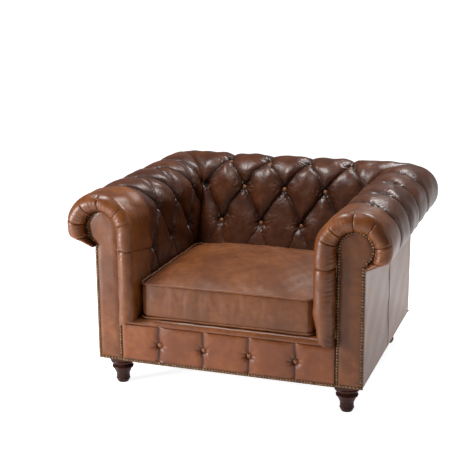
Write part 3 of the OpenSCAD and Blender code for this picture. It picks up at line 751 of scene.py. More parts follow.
# ---------- Buttons of the arms and back ----------
# Each button is a pressed metal mould covered in the same leather, with a tufting twine that
# runs through the stuffing and is tied off behind the webbing.
button_r, button_t, shank_l, shank_r = 0.010, 0.007, 0.025, 0.0016
button_profile = [
    (0, button_t), (0.30, 0.985 * button_t), (0.58, 0.90 * button_t), (0.80, 0.72 * button_t),
    (0.94, 0.46 * button_t), (1.0, 0.22 * button_t), (0.96, 0.05 * button_t), (0.8, 0),
    (shank_r / button_r, 0),
]


def add_button(form, place, out, sink, twine):
    """Spins one button at a place on a surface, sunk along the outward direction."""
    turn = Vector((0, 0, 1)).rotation_difference(Vector(out).normalized()).to_matrix().to_4x4()
    line = [Vector((share * button_r, 0, up)) for share, up in button_profile]
    line += [Vector((shank_r, 0, -twine)), Vector((0, 0, -twine))]
    verts = [form.verts.new(point) for point in line]
    edges = [form.edges.new(pair) for pair in zip(verts, verts[1:])]
    bmesh.ops.spin(
        form, geom=verts + edges, cent=(0, 0, 0), axis=(0, 0, 1),
        steps=18, angle=2 * math.pi, use_merge=True,
    )
    made = [v for v in form.verts if not v.tag]
    bmesh.ops.remove_doubles(form, verts=made, dist=1e-5)
    made = [v for v in form.verts if not v.tag]
    bmesh.ops.transform(
        form, verts=made,
        matrix=Matrix.Translation(Vector(place) - Vector(out).normalized() * sink) @ turn,
    )
    for vert in made:
        vert.tag = True


def finish_buttons(name, form, node):
    """Makes a set of buttons one piece, which stands for its CAD node."""
    bmesh.ops.recalc_face_normals(form, faces=form.faces)
    buttons = new_piece(name, form, button_hide)
    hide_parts(node)


for side, word in ((-1, "left"), (1, "right")):
    form = bmesh.new()
    for run, at in arm_buttons[:-1]:
        angle = max(run, 0) / roll_r
        out = Vector((-side * math.cos(angle), 0, math.sin(angle)))
        place = Vector((side * roll_x, at, roll_z + min(run, 0))) + roll_r * out
        add_button(form, place, out, button_depth, shank_l)
    finish_buttons(word + "_arm_tuft_buttons", form, word + "_arm_buttons")
form = bmesh.new()
for run, at in back_buttons[:-2]:
    angle = lean + max(run, 0) / roll_r
    out = Vector((0, -math.cos(angle), math.sin(angle)))
    down = min(run, 0) * Vector((0, math.sin(lean), math.cos(lean)))
    add_button(form, Vector((at, roll_y, roll_z)) + roll_r * out + down, out, button_depth, shank_l)
for side in (-1, 1):
    add_button(form, (side * inner_x, inner_y, mitre_z), (-side, -1, 0), button_depth, shank_l)
finish_buttons("back_tuft_buttons", form, "back_buttons")


# ---------- Front rolls ----------
# The front of each arm is a thick padded bead round the keyhole facing. Its leather runs on from
# the arm, over the bead and in to the nails, where its fullness is taken up in short pleats.
bead_y, facing_y = -0.466, -0.450
head_r, head_x, head_z = 0.0645, 0.459, 0.595
neck_z, tack_z = 0.5374, 0.525
strip_x = 0.3945
bead_run, inner_run = 0.107, 0.016
turn_end = leave_angle * roll_r


def keyhole_place(run):
    """The point of the facing's edge that the leather runs to from a place up the arm."""
    up_strip = roll_z + run - 0.009 * np.clip(1 + run / 0.06, 0, 1) ** 2
    last = arm_outline[0][-1]
    past = np.clip((run - turn_end) / (last - turn_end), 0, 1)
    angle = math.pi - np.clip(run, 0, turn_end) / roll_r
    angle = angle - np.clip(past / 0.7, 0, 1) * math.radians(43.7)
    x = np.where(run < 0, strip_x, head_x + head_r * np.cos(angle))
    z = np.where(run < 0, up_strip, head_z + head_r * np.sin(angle))
    rest = np.clip((past - 0.7) / 0.3, 0, 1)
    return x + rest * (0.4903 - x), z + rest * (tack_z + 0.002 - z)


def bead_place(run, along):
    """A point of the bead. along is y as far as the bead, and runs on over it to the nails."""
    out, up, turn_out, turn_up = on_outline(arm_outline, run)
    x, z = roll_x + out, roll_z + up
    to_x, to_z = keyhole_place(run)
    over = np.clip((bead_y - along) / bead_run, 0, 1) * math.pi
    depth = np.minimum(0.0345, 0.55 * np.hypot(to_x - x, to_z - z))
    share = (1 - np.cos(over)) / 2
    y = np.maximum(along, bead_y) - depth * np.sin(over)
    y = y + np.clip((bead_y - bead_run - along) / inner_run, 0, 1) * (facing_y - bead_y)
    return np.stack([x + share * (to_x - x), y, z + share * (to_z - z)], 1)


pleat_runs = [-0.074, 0.026, 0.095, 0.191, 0.270, 0.367, 0.456, 0.505]
nail_along = bead_y - bead_run - inner_run
front_folds = arm_folds + [
    (run, nail_along, run + lean_by, bead_y - start, 0.0085, 0.003, 0.016, 0.008)
    for run, lean_by, start in zip(
        pleat_runs,
        (-0.002, 0.004, -0.006, 0.002, 0.008, 0.004, -0.004, 0.0),
        (-0.004, 0.022, 0.030, 0.012, 0.026, 0.018, 0.014, 0.03),
    )
]


strip_low = roll_z - 0.276
front_rows = 330
even_rows = front_rows - 6 * len(pleat_runs)
row_runs = np.sort(np.concatenate([
    np.linspace(-strip_low, arm_outline[0][-1], even_rows),
    [run + by for run in pleat_runs for by in (-0.0045, -0.003, -0.0015, 0.0015, 0.003, 0.0045)],
]))


def front_place(side, share_run, share_along):
    """A point of the front roll. Its strip ends in a mitre over the lip."""
    run = np.interp(share_run * (front_rows - 1), np.arange(front_rows), row_runs)
    along = arm_front + share_along * (nail_along - arm_front)
    inside = (share_run > 0.01) & (share_run < 0.99) & (share_along > 0.01) & (share_along < 0.99)
    new_run, new_along = snap_to_folds(run, along, front_folds, 0.0015)
    run, along = np.where(inside, new_run, run), np.where(inside, new_along, along)
    drawn, fold = tuft(run, along, front_folds, arm_buttons, 20 + side)
    keep = fade_out(run, arm_outline, 0.05) * np.clip((along - bead_y) / 0.05, 0, 1)
    flat = np.stack([run, along], 1)
    run, along = meander(run, along, keep, arm_buttons, 30 + side)
    over = np.clip((bead_y - along) / bead_run, 0, 1)
    drawn += 0.0008 * over ** 2 * waviness(flat * np.array([1.0, 0.1]), 0.011, 61 + side)
    swell = np.clip((arm_front - 0.01 - along) / 0.08, 0, 1) * (1 - over) ** 1.5
    swell *= np.clip((run + strip_low) / 0.1, 0, 1) * np.clip((0.12 - run) / 0.16, 0, 1)
    drawn -= (0.015 if side > 0 else 0.003) * swell * swell * (3 - 2 * swell)
    drawn = (drawn - puff) * np.clip((arm_outline[0][-1] - run) / 0.02, 0, 1) ** 0.5
    lowered = run - 0.026 * (1 - np.cos(over * math.pi)) / 2 * np.clip((-0.2 - run) / 0.1, 0, 1)
    point = bead_place(lowered, along)
    step = 1e-4
    along_run = bead_place(run + step, along) - bead_place(run - step, along)
    along_y = bead_place(run, along - step) - bead_place(run, along + step)
    normal = np.cross(along_y, along_run)
    normal /= np.maximum(np.linalg.norm(normal, axis=1, keepdims=True), 1e-12)
    point = point - normal * drawn[:, None]
    point[:, 0] *= side
    # The fold mark is raised to half over the strip tucked in to the nails: painted shade under the bead.
    return point, np.maximum(fold, 0.5 * np.clip((bead_y - bead_run + 0.004 - along) / 0.012, 0, 1))


for side, word in ((-1, "left"), (1, "right")):
    roll = new_piece(
        word + "_front_roll_leather",
        lay_sheet(front_rows, 92, lambda s, t: front_place(side, s, t), (-side * 0.5, -1, 0.8)),
        hide,
    )
    thicken(roll, leather_t)
    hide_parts(word + "_front_roll")


# ---------- Facings ----------
# A keyhole-shaped board with a skin of wadding is covered in leather and nailed over the raw
# edges of the front roll. Closely set brass nails, browned with age, run all round it.
facing_low = 0.105


def facing_place(side, share_across, share_up):
    """A point of the facing: its strip takes the first 0.7 of the way up, and its head the rest."""
    neck_angle = math.acos((head_z - neck_z) / head_r)
    angle = neck_angle + np.clip((share_up - 0.7) / 0.3, 0, 1) * (math.pi - neck_angle)
    z = np.where(
        share_up < 0.7, facing_low + share_up / 0.7 * (neck_z - facing_low), head_z - head_r * np.cos(angle)
    )
    half = np.sqrt(np.maximum(head_r ** 2 - (z - head_z) ** 2, 0))
    left = np.where(z < head_z, head_x - head_r, head_x - half)
    neck = np.clip(1 - (neck_z - z) / 0.03, 0, 1) ** 2
    right = np.where(z < neck_z, 0.490 - neck * 0.0028, head_x + half)
    x = left + share_across * (right - left)
    rim = np.minimum(np.minimum(x - left, right - x), z - facing_low)
    swell = 1 - (1 - np.clip((rim - 0.009) / 0.02, 0, 1)) ** 2
    flat = np.stack([x * side, z], 1)
    y = facing_y - 0.0035 * swell - 0.0006 * waviness(flat, 0.07, 71) * swell
    # The fold mark is a band round the rim, along the nails: painted shade.
    return np.stack([side * x, y, z], 1), 0.5 * np.exp(-(((rim - 0.006) / 0.006) ** 4))


nail_r, nail_pitch = 0.00475, 0.0105
nail_brass, brass_shader, wire = new_finish("browned_brass")
brass_shader.inputs["Metallic"].default_value = 0.75
place = wire.node("TexCoord", out="Object")
tarnish = wire.node("TexNoise", None, {"Vector": place, "Scale": 70.0, "Detail": 4.0})
join_up(
    wire, brass_shader, tarnish.held(0.35, 0.7).blend(tint(84, 62, 44), tint(132, 104, 70)),
    tarnish * 0.25 + 0.2, tarnish, 0.0003, 0.5,
)


def nail_line(start, end):
    """Places of nails from one point of the front to another."""
    start, end = Vector(start), Vector(end)
    count = math.floor((end - start).length / nail_pitch + 1e-9)
    return [tuple(start + (end - start) * i / count) for i in range(count + 1)]


def add_nails(places, y, name, node):
    """Domed nail heads, as one piece."""
    form = bmesh.new()
    bmesh.ops.create_uvsphere(form, u_segments=10, v_segments=6, radius=nail_r)
    bmesh.ops.bisect_plane(
        form, geom=form.verts[:] + form.edges[:] + form.faces[:],
        plane_co=(0, 0, 0.0002), plane_no=(0, 0, -1), clear_outer=True,
    )
    bmesh.ops.transform(
        form, verts=form.verts, matrix=Matrix.Rotation(math.pi / 2, 4, "X") @ Matrix.Diagonal((1, 1, 0.7, 1))
    )
    one = form.verts[:] + form.edges[:] + form.faces[:]
    for x, z in places:
        copy = bmesh.ops.duplicate(form, geom=one)["geom"]
        bmesh.ops.translate(
            form, verts=[g for g in copy if isinstance(g, bmesh.types.BMVert)], vec=(x, y, z)
        )
    bmesh.ops.delete(form, geom=[g for g in one if isinstance(g, bmesh.types.BMVert)], context="VERTS")
    bmesh.ops.recalc_face_normals(form, faces=form.faces)
    nails = new_piece(name, form, nail_brass)
    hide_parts(node)


inset = nail_r + 0.0015
ring_r = 0.064 - inset
left_line, right_line = 0.394 + inset, 0.490 - inset
low_line = facing_low + inset
ring_angles = np.arange(180, -50 - 1e-6, -math.degrees(nail_pitch / ring_r))
facing_nails = (
    nail_line((left_line, low_line), (left_line, head_z - nail_pitch))
    + nail_line((left_line + nail_pitch, low_line), (right_line - nail_pitch, low_line))
    + nail_line((right_line, low_line), (right_line, head_z - 0.9 * 0.064 - inset))
    + [(head_x + ring_r * math.cos(math.radians(a)), head_z + ring_r * math.sin(math.radians(a)))
       for a in ring_angles]
)
for side, word in ((-1, "left"), (1, "right")):
    facing_form = lay_sheet(34, 150, lambda s, t: facing_place(side, s, t), (0, -1, 0))
    bmesh.ops.remove_doubles(facing_form, verts=facing_form.verts, dist=1e-6)
    facing = new_piece(word + "_keyhole_facing", facing_form, hide)
    thicken(facing, 0.0055)
    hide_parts(word + "_facing")
    add_nails(
        [(side * x, z) for x, z in facing_nails], facing_y - 0.0006,
        word + "_keyhole_nails", word + "_facing_nails",
    )


# ---------- Front border and lip ----------
# Under the cushion a buttoned border of tanner leather is stretched over the front rail, held
# along its foot by a row of nails. A plain lip of leather rolls over it and back under the cushion.
border_half, border_y = 0.3934, -0.4563
border_low, border_high = 0.105, 0.249
border_places = [i * 0.168 for i in (-1.5, -0.5, 0.5, 1.5)]
border_mid = (border_low + border_high) / 2
border_sink = 0.018


def border_drawn(z, x):
    """How deep the border's leather is drawn in, by its buttons and along its edges."""
    drawn = np.zeros(len(x))
    flat = np.stack([z, x], 1)
    shift = 0.002 * waviness(flat, 0.08, 83)
    for at in border_places:
        away = np.hypot(x - at, z - border_mid)
        drawn += (0.0125 * pulled(np.abs(x - at + shift), 0.052)) ** 3
        drawn += (border_sink * pulled(away - 0.008, 0.034)) ** 3
    for gap, depth, reach in (
        (border_high - z, 0.007, 0.024), (np.abs(z - border_low - 0.013), 0.005, 0.018),
        (border_half - np.abs(x), 0.006, 0.02),
    ):
        drawn += (depth * pulled(gap, reach)) ** 3
    drawn = np.minimum(drawn ** (1 / 3), border_sink)
    for at in border_places:
        away = np.hypot(x - at, z - border_mid)
        turns = 8 * np.arctan2(x - at, z - border_mid) + 20 * at + waviness(flat, 0.03, 82)
        drawn += 0.0020 * puckers(away, 0.008, 0.012, 0.014, turns)
    return drawn + 0.0008 * waviness(flat, 0.09, 81) - 0.0015


def border_place(share_up, share_across, sink):
    """A point of the border. A flat band along its foot takes the nails."""
    z = border_low + share_up * (border_high - border_low)
    x = (2 * share_across - 1) * border_half
    pull = np.array(border_places)
    nearest = pull[np.argmin(np.abs(x[:, None] - pull[None, :]), axis=1)]
    x = np.where(np.abs(x - nearest) < 0.0017, nearest, x)
    drawn = border_drawn(z, x)
    band = np.clip((z - border_low - 0.011) / 0.004, 0, 1)
    drawn = drawn * band + 0.0004 * (1 - band) + sink
    # line and the fold mark paint shade: a dark line down each button's crease, and the nail band along the
    # foot darkened.
    line = np.exp(-(((x - nearest) / 0.0022) ** 2))
    fold = np.maximum(np.clip(drawn / 0.02, 0, 1), 0.9 * band * line)
    return np.stack([x, border_y + drawn, z], 1), np.maximum(fold, 0.5 * (1 - band))


border = new_piece(
    "front_border_leather",
    lay_sheet(52, 260, lambda s, t: border_place(s, t, 0.0), (0, -1, 0)),
    border_hide,
)
thicken(border, leather_t)
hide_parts("front_border")
border_pad = new_piece(
    "front_border_stuffing",
    lay_sheet(36, 160, lambda s, t: border_place(s * 0.93 + 0.035, t * 0.998 + 0.001, 0.006), (0, -1, 0)),
    stuffing,
)
thicken(border_pad, 0.012)
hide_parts("border_foam")
form = bmesh.new()
for at in border_places:
    add_button(form, (at, border_y, border_mid), (0, -1, 0), border_sink, 0.010)
finish_buttons("front_border_tuft_buttons", form, "front_border_buttons")
nail_reach = border_half + 0.0003 - nail_r - 0.003
add_nails(
    nail_line((-nail_reach, border_low + inset), (nail_reach, border_low + inset)),
    border_y - 0.0002, "front_border_nails", "front_nails",
)

lip_path = np.array([
    (-0.4463, 0.2497), (-0.4520, 0.2495), (-0.4570, 0.2505), (-0.4594, 0.2540), (-0.4598, 0.2590),
    (-0.4580, 0.2645), (-0.4545, 0.2695), (-0.4495, 0.2730), (-0.4440, 0.2747), (-0.4300, 0.2752),
    (-0.4000, 0.2751), (-0.3796, 0.2750),
])
lip_steps = np.concatenate([[0], np.cumsum(np.hypot(*np.diff(lip_path, axis=0).T))])
lip_steps /= lip_steps[-1]


def lip_place(share_round, share_across):
    """A point of the lip, from the border's top edge round and back under the cushion."""
    y = np.interp(share_round, lip_steps, lip_path[:, 0])
    z = np.interp(share_round, lip_steps, lip_path[:, 1])
    mitre = inner_x + (0.2752 - z) / 0.0256 * (border_half - inner_x)
    wide = np.where(y < -0.4435, mitre, inner_x) - 0.0006
    x = (2 * share_across - 1) * wide
    flat = np.stack([x, y * 3], 1)
    front = np.clip((-0.4435 - y) / 0.008, 0, 1)
    y = y + 0.0004 * front * waviness(flat, 0.12, 91)
    z = z - 0.0005 * (1 + waviness(flat, 0.09, 92)) * (1 - 0.5 * front)
    # The fold mark darkens where the lip runs low under the cushion: painted shade.
    return np.stack([x, y, z], 1), np.clip((0.2515 - z) / 0.004, 0, 1) * 0.4


lip = new_piece("front_lip_leather", lay_sheet(60, 200, lip_place, (0, -0.4, 1)), hide)
thicken(lip, 0.002)
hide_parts("front_lip")


# ---------- Outside panels ----------
# Plain leather over board closes the outsides and the back. Each side is joined from two hides
# with an upright seam, top-stitched on both sides, and the back has two such seams.
thread, thread_shader, wire = new_finish("waxed_thread")
place = wire.node("TexCoord", out="Object")
twist = wire.node("TexNoise", None, {"Vector": place, "Scale": 900.0, "Detail": 2.0})
join_up(
    wire, thread_shader, twist.held(0.35, 0.65).blend(tint(92, 58, 38), tint(150, 108, 76)),
    twist * 0.2 + 0.55, twist, 0.0004, 0.8,
)
stitch_pitch = 0.007


def panel_form(length, low, high, seams, corner, seed):
    """An upholstered panel in the plane of its length and height, with its face at 0."""
    def place(share_along, share_up):
        along = (share_along - 0.5) * length
        z = low + share_up * (high - low)
        for seam in seams:
            along = np.where(np.abs(along - seam) < 0.0021, seam, along)
        flat = np.stack([along, z], 1)
        rim = np.minimum(np.minimum(along + length / 2, length / 2 - along), np.minimum(z - low, high - z))
        if corner:
            rim = np.minimum(rim, (length / 2 - along + z - low - corner) * 0.7071)
        rolled = 0.004 * pulled(rim, 0.008)
        sunk = rolled + 0.0009 * (1 + waviness(flat, 0.16, seed)) * np.clip(rim / 0.05, 0, 1)
        # The fold mark darkens the rolled rim: painted shade.
        fold = np.clip(0.4 - rim / 0.02, 0, 0.4)
        for seam in seams:
            away = np.abs(along - seam)
            ridge = 0.0008 * np.exp(-(((away - 0.008) / 0.005) ** 2))
            sunk = sunk + 0.0022 * (1 - np.clip(away / 0.0045, 0, 1)) - ridge
            # The fold mark darkens each seam's groove: painted shade.
            fold = np.maximum(fold, 0.8 * (1 - np.clip(away / 0.004, 0, 1)))
        if corner:
            over = np.maximum(0, corner - (length / 2 - along) - (z - low))
            along, z = along - over / 2, z + over / 2
        return np.stack([along, sunk, z], 1), fold

    return lay_sheet(round(length / 0.0042), 84, place, (0, -1, 0))


def stitch_form(low, high, seams):
    """Two rows of stitches beside each seam of a panel."""
    form = bmesh.new()
    for seam in seams:
        for beside in (-0.0055, 0.0055):
            for number in range(int((high - low - 0.02) / stitch_pitch)):
                up = low + 0.012 + number * stitch_pitch
                made = bmesh.ops.create_icosphere(form, subdivisions=1, radius=0.5)["verts"]
                bmesh.ops.transform(
                    form, verts=made,
                    matrix=Matrix.Translation((seam + beside, 0.0002, up))
                    @ Matrix.Diagonal((0.0013, 0.0012, 0.0048, 1)),
                )
    return form


panel_low, panel_high = 0.105, 0.5247
side_front, side_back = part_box("outside_right_arm")[0].y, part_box("outside_right_arm")[1].y
side_length, side_mid = side_back - side_front, (side_back + side_front) / 2
side_seam = [-0.025 - side_mid]
back_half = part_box("outside_back")[1].x
back_seams = [-0.16, 0.16]
body_x, body_y = 0.490, 0.405
slant = 0.021                 # cut off the lower rear corner of each side panel
for word, node, length, seams, cut, seed, turn, place in (
    ("outside_left", "outside_left_arm", side_length, side_seam, slant, 101, None, (-body_x, side_mid)),
    ("outside_right", "outside_right_arm", side_length, side_seam, slant, 102, 90, (body_x, side_mid)),
    ("outside_rear", "outside_back", 2 * back_half, back_seams, 0, 103, 180, (0, body_y)),
):
    form = panel_form(length, panel_low, panel_high, seams, cut, seed)
    stitches = stitch_form(panel_low, panel_high, seams)
    for part in (form, stitches):
        if turn is None:
            bmesh.ops.transform(
                part, verts=part.verts,
                matrix=Matrix.Rotation(math.pi / 2, 4, "Z") @ Matrix.Diagonal((1, -1, 1, 1)),
            )
            bmesh.ops.reverse_faces(part, faces=part.faces)
        else:
            bmesh.ops.transform(part, verts=part.verts, matrix=Matrix.Rotation(math.radians(turn), 4, "Z"))
        bmesh.ops.translate(part, verts=part.verts, vec=(*place, 0))
    panel = new_piece(word + "_panel", form, hide)
    thicken(panel, 0.0085)
    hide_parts(node)
    new_piece(word + "_stitches", stitches, thread)


# ---------- Feet ----------
# Four turned beech feet, stained almost black over a red ground and polished, each with a
# nylon glide nailed under its toe.
paint(wood_finish("stained_foot", tint(64, 32, 25), tint(34, 17, 14), 2, 0.2, 0.15),
      "front_left_foot", "front_right_foot", "rear_left_foot", "rear_right_foot")
glide, glide_shader, wire = new_finish("glide_nylon")
place = wire.node("TexCoord", out="Object")
scuffs = wire.node("TexNoise", None, {"Vector": place, "Scale": 240.0, "Detail": 4.0})
join_up(
    wire, glide_shader, scuffs.held(0.4, 0.7).blend(tint(34, 34, 34), tint(84, 82, 80)),
    scuffs * 0.3 + 0.35, scuffs, 0.0003, 0.5,
)
paint(glide, "foot_glides")


# ---------- Loose cushion ----------
# One box cushion with a crowned foam core. Its leather top, boxing and bottom are joined with a
# piped welt along both rims, and the boxing puckers softly where it is pulled in by the welts.
cushion_low, cushion_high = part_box("cushion_cover")
cushion_half = Vector(((cushion_high.x - cushion_low.x) / 2, (cushion_high.y - cushion_low.y) / 2))
cushion_mid_y = (cushion_high.y + cushion_low.y) / 2
cushion_half.x -= 0.004
cushion_shift = -0.004        # it lies a little to the left
cushion_t, cushion_crown, cushion_corner = 0.130, 0.044, 0.026
top_rim = cushion_low.z + cushion_t


def cushion_form(inset, cuts=30):
    """A crowned block with rounded upright edges, smaller than the cushion by an inset."""
    form = bmesh.new()
    bmesh.ops.create_cube(form, size=1)
    bmesh.ops.subdivide_edges(form, edges=form.edges, cuts=cuts, use_grid_fill=True)
    half_x, half_y, corner = cushion_half.x - inset, cushion_half.y - inset, cushion_corner

    def shape(points):
        x, y = points[:, 0] * 2 * half_x, points[:, 1] * 2 * half_y
        core_x = np.clip(x, corner - half_x, half_x - corner)
        core_y = np.clip(y, corner - half_y, half_y - corner)
        away = np.hypot(x - core_x, y - core_y)
        box = np.maximum(np.abs(x - core_x), np.abs(y - core_y))
        pull = np.where(away > 0, box / np.maximum(away, 1e-9), 1)
        x, y = core_x + (x - core_x) * pull, core_y + (y - core_y) * pull
        steep = np.where(y > 0, 6.0, 2.6)
        crown = cushion_crown * (1 - np.abs(x / half_x) ** 4) * (1 - np.abs(y / half_y) ** steep)
        tall = cushion_t - 2 * inset
        z = cushion_low.z + inset + (points[:, 2] + 0.5) * tall + np.where(points[:, 2] > 0.499, crown, 0)
        return np.stack([x + cushion_shift, y + cushion_mid_y, z], 1)

    move_points(form, shape)
    bmesh.ops.recalc_face_normals(form, faces=form.faces)
    return form


core = new_piece("cushion_foam", cushion_form(0.014), stuffing, body="cushion")
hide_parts("cushion_core")

cushion = new_piece(
    "cushion_leather_cover", cushion_form(0.004), cushion_hide, body="cushion"
)
remesh = cushion.modifiers.new("even_faces", "REMESH")
remesh.mode = "VOXEL"
remesh.voxel_size = 0.0075


def apply_modifiers(piece):
    """Puts what the modifiers make into the mesh, and removes them."""
    bpy.context.view_layer.update()
    done = bpy.data.meshes.new_from_object(piece.evaluated_get(bpy.context.evaluated_depsgraph_get()))
    piece.modifiers.clear()
    piece.data = done
    piece.data.polygons.foreach_set("use_smooth", [True] * len(piece.data.polygons))


def mesh_points(piece):
    """The places of a piece's points, as an array."""
    flat = np.zeros(len(piece.data.vertices) * 3)
    piece.data.vertices.foreach_get("co", flat)
    return flat.reshape(-1, 3)


apply_modifiers(cushion)
start = mesh_points(cushion)


def rim_gap(points):
    """How far inside the cushion's plan each point lies, and how far round it goes."""
    x, y = points[:, 0] - cushion_shift, points[:, 1] - cushion_mid_y
    core_x = np.clip(x, cushion_corner - cushion_half.x, cushion_half.x - cushion_corner)
    core_y = np.clip(y, cushion_corner - cushion_half.y, cushion_half.y - cushion_corner)
    corner_gap = cushion_corner - np.hypot(x - core_x, y - core_y)
    side_gap = np.minimum(cushion_half.x - np.abs(x), cushion_half.y - np.abs(y))
    return np.where((x != core_x) & (y != core_y), corner_gap, side_gap)


gap = rim_gap(start)
on_rim = (gap < 0.011) & (
    (np.abs(start[:, 2] - top_rim + 0.003) < 0.009)
    | (np.abs(start[:, 2] - cushion_low.z - 0.004) < 0.007)
)
pins = cushion.vertex_groups.new(name="welts")
pins.add([int(i) for i in np.nonzero(on_rim)[0]], 1.0, "REPLACE")
cloth = cushion.modifiers.new("swelling", "CLOTH")
cloth.settings.quality = 5
cloth.settings.mass = 0.4
cloth.settings.use_pressure = True
cloth.settings.uniform_pressure_force = 4.0
cloth.settings.tension_stiffness = 30
cloth.settings.compression_stiffness = 30
cloth.settings.bending_stiffness = 0.6
cloth.settings.vertex_group_mass = "welts"
cloth.settings.effector_weights.gravity = 0.0
cloth.collision_settings.use_collision = False
for step in range(1, 21):
    bpy.context.scene.frame_set(step)
apply_modifiers(cushion)
bpy.context.scene.frame_set(1)
cushion.vertex_groups.clear()

now = mesh_points(cushion)
moved = now - start
far = np.linalg.norm(moved, axis=1, keepdims=True)
now = start + moved * np.minimum(1, 0.016 / np.maximum(far, 1e-9))
gap = rim_gap(start)
height = np.clip((start[:, 2] - cushion_low.z) / cushion_t, 0, 1)
on_side = np.clip(1 - gap / 0.008, 0, 1)
out = np.stack([start[:, 0], (start[:, 1] - cushion_mid_y) * 1.15, np.zeros(len(start))], 1)
out /= np.maximum(np.linalg.norm(out, axis=1, keepdims=True), 1e-9)
belly = np.sin(math.pi * height)
stretch = np.array([[1.0, 1.0, 0.3]])
ripple = waviness(start * stretch, 0.05, 201) * 0.6 + waviness(start * stretch, 0.024, 202) * 0.4
now += out * (on_side * (belly ** 0.6 * (0.0065 + 0.0026 * ripple)))[:, None]
on_top = np.clip((start[:, 2] - top_rim - 0.001) / 0.01, 0, 1)
now[:, 2] += on_top * (0.0016 * waviness(start, 0.16, 203) + 0.0007 * waviness(start, 0.05, 204))
now[:, 2] = np.maximum(now[:, 2], cushion_low.z)
now[:, 0] = np.clip(now[:, 0], -inner_x + 0.001, cushion_half.x + cushion_shift + 0.004)
now[:, 1] = np.clip(now[:, 1], cushion_low.y - 0.009, cushion_high.y)
cushion.data.vertices.foreach_set("co", now.ravel())
# The fold mark darkens the boxing beside each welt: painted shade.
fold = cushion.data.attributes.new("fold", "FLOAT", "POINT")
welt_gap = np.minimum(np.abs(height - 0.97), np.abs(height - 0.03)) * cushion_t
fold.data.foreach_set("value", np.clip(0.5 - welt_gap / 0.012, 0, 0.5) * on_side)
smooth = cushion.modifiers.new("smooth", "SUBSURF")
smooth.levels = smooth.render_levels = 1
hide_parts("cushion_cover")


def welt_form(z, out_by, radius, steps=360):
    """A piped welt round the cushion, spun as a ring and drawn out to the cushion's plan."""
    form = bmesh.new()
    ring = bmesh.ops.create_circle(form, segments=10, radius=radius)["verts"]
    bmesh.ops.transform(
        form, verts=ring,
        matrix=Matrix.Translation((1, 0, 0)) @ Matrix.Rotation(math.pi / 2, 4, "X"),
    )
    bmesh.ops.spin(
        form, geom=form.verts[:] + form.edges[:], cent=(0, 0, 0), axis=(0, 0, 1),
        steps=steps, angle=2 * math.pi, use_merge=True,
    )
    half_x, half_y, corner = cushion_half.x + out_by, cushion_half.y + out_by, cushion_corner + out_by
    flat_x, flat_y, bend = 2 * (half_x - corner), 2 * (half_y - corner), corner * math.pi / 2
    lengths = [flat_y / 2, bend, flat_x, bend, flat_y, bend, flat_x, bend, flat_y / 2]
    ends = np.cumsum([0] + lengths)

    def along_plan(share):
        at = share * ends[-1]
        centres = [(half_x - corner, half_y - corner), (corner - half_x, half_y - corner),
                   (corner - half_x, corner - half_y), (half_x - corner, corner - half_y)]
        x, y = np.zeros(len(at)), np.zeros(len(at))
        nx, ny = np.zeros(len(at)), np.zeros(len(at))
        for number, (first, last) in enumerate(zip(ends, ends[1:])):
            here = (at >= first) & (at <= last)
            step = at[here] - first
            if number % 2:
                cx, cy = centres[number // 2]
                angle = (number // 2) * math.pi / 2 + step / corner
                nx[here], ny[here] = np.cos(angle), np.sin(angle)
                x[here], y[here] = cx + corner * np.cos(angle), cy + corner * np.sin(angle)
            else:
                turn = (number // 2) % 4
                nx[here], ny[here] = [(1, 0), (0, 1), (-1, 0), (0, -1)][turn]
                begin = [(half_x, 0), (half_x - corner, half_y), (-half_x, half_y - corner),
                         (corner - half_x, -half_y), (half_x, corner - half_y)][number // 2]
                way = [(0, 1), (-1, 0), (0, -1), (1, 0), (0, 1)][number // 2]
                x[here], y[here] = begin[0] + way[0] * step, begin[1] + way[1] * step
        return x, y, nx, ny

    def shape(points):
        share = (np.arctan2(points[:, 1], points[:, 0]) / (2 * math.pi)) % 1.0
        x, y, nx, ny = along_plan(share)
        out = np.hypot(points[:, 0], points[:, 1]) - 1
        place = np.stack([x, y], 1)
        lift = 0.0012 * waviness(place, 0.2, 211) + 0.0005 * waviness(place, 0.05, 212)
        return np.stack([
            x + cushion_shift + nx * out, y + cushion_mid_y + ny * out, z + lift + points[:, 2]
        ], 1)

    move_points(form, shape)
    bmesh.ops.recalc_face_normals(form, faces=form.faces)
    return form


for word, z in (("top", top_rim - 0.002), ("bottom", cushion_low.z + 0.0052)):
    new_piece(
        "cushion_welt_" + word, welt_form(z, -0.0035, 0.0042), cushion_hide, body="cushion"
    )


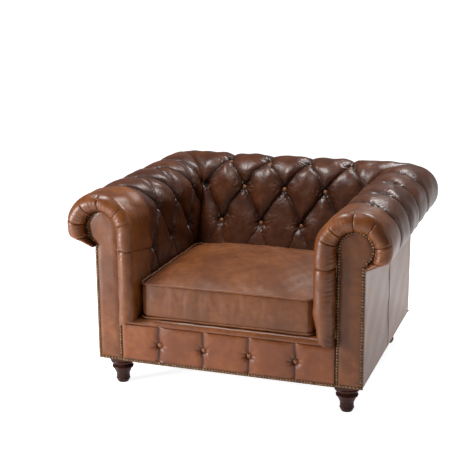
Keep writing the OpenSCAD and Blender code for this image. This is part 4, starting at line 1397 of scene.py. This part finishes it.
# ---------- Zip ----------
# The rear boxing opens with a coil zip on woven tape. Its slider has a bail and a flat pull.
zip_low, zip_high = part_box("cushion_zip")
zip_mid = (zip_low.z + zip_high.z) / 2
tape, tape_shader, wire = new_finish("zip_tape_and_coil")
place = wire.node("TexCoord", out="Object")
spread = wire.node("SeparateXYZ", None, {0: place})
across = Wire(wire.tree, spread.socket.node.outputs[0])
upward = Wire(wire.tree, spread.socket.node.outputs[2])
teeth = wire.maths("SINE", across * (2 * math.pi / 0.0024)).held(-0.3, 0.4)
on_teeth = 1 - wire.maths("ABSOLUTE", upward - zip_mid).held(0.0022, 0.0028)
weave = wire.maths("SINE", across * 5200.0) * 0.5 + wire.maths("SINE", upward * 5200.0) * 0.5
cloth_shade = (weave * 0.25 + 0.5).blend(tint(44, 26, 18), tint(74, 48, 34))
zip_shade = (teeth * 0.9).blend(tint(28, 20, 16), tint(150, 116, 66))
join_up(
    wire, tape_shader, on_teeth.blend(cloth_shade, zip_shade), 0.85 - on_teeth * 0.5,
    weave * 0.2 + on_teeth * teeth * 2, 0.0006, 0.8,
)
paint(tape, "cushion_zip")

slider_metal = steel_finish("slider_brass", tint(178, 140, 78), tint(112, 84, 44), 0.25)
slider_low, slider_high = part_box("zip_slider")
slider_mid = (slider_low + slider_high) / 2
slider_size = slider_high - slider_low
form = bmesh.new()
bmesh.ops.create_cube(form, size=1)
bmesh.ops.transform(form, verts=form.verts, matrix=Matrix.Diagonal((*slider_size, 1)))
for vert in form.verts:
    if vert.co.x > 0:
        vert.co.z *= 0.62
bmesh.ops.bevel(
    form, geom=form.edges, offset=0.0011, offset_type="OFFSET", affect="EDGES",
    segments=3, profile=0.5, material=-1,
)
bail = bmesh.ops.create_cube(form, size=1)["verts"]
bmesh.ops.transform(
    form, verts=bail,
    matrix=Matrix.Translation((-0.001, 0.0016, 0)) @ Matrix.Diagonal((0.008, 0.0016, 0.0024, 1)),
)
pull = bmesh.ops.create_circle(form, segments=20, radius=0.0038, cap_ends=True)
bmesh.ops.transform(
    form, verts=pull["verts"],
    matrix=Matrix.Translation((-0.0005, 0.0024, -0.012)) @ Matrix.Diagonal((1, 1, 2.4, 1))
    @ Matrix.Rotation(math.pi / 2, 4, "X"),
)
pull_faces = [f for f in form.faces if len(f.verts) == 20]
grown = bmesh.ops.extrude_face_region(form, geom=pull_faces)["geom"]
bmesh.ops.translate(form, verts=[g for g in grown if isinstance(g, bmesh.types.BMVert)], vec=(0, 0.0012, 0))
bmesh.ops.translate(form, verts=form.verts, vec=slider_mid)
bmesh.ops.recalc_face_normals(form, faces=form.faces)
slider = new_piece("zip_slider_and_pull", form, slider_metal, body="slider", flat=True)
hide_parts("zip_slider")
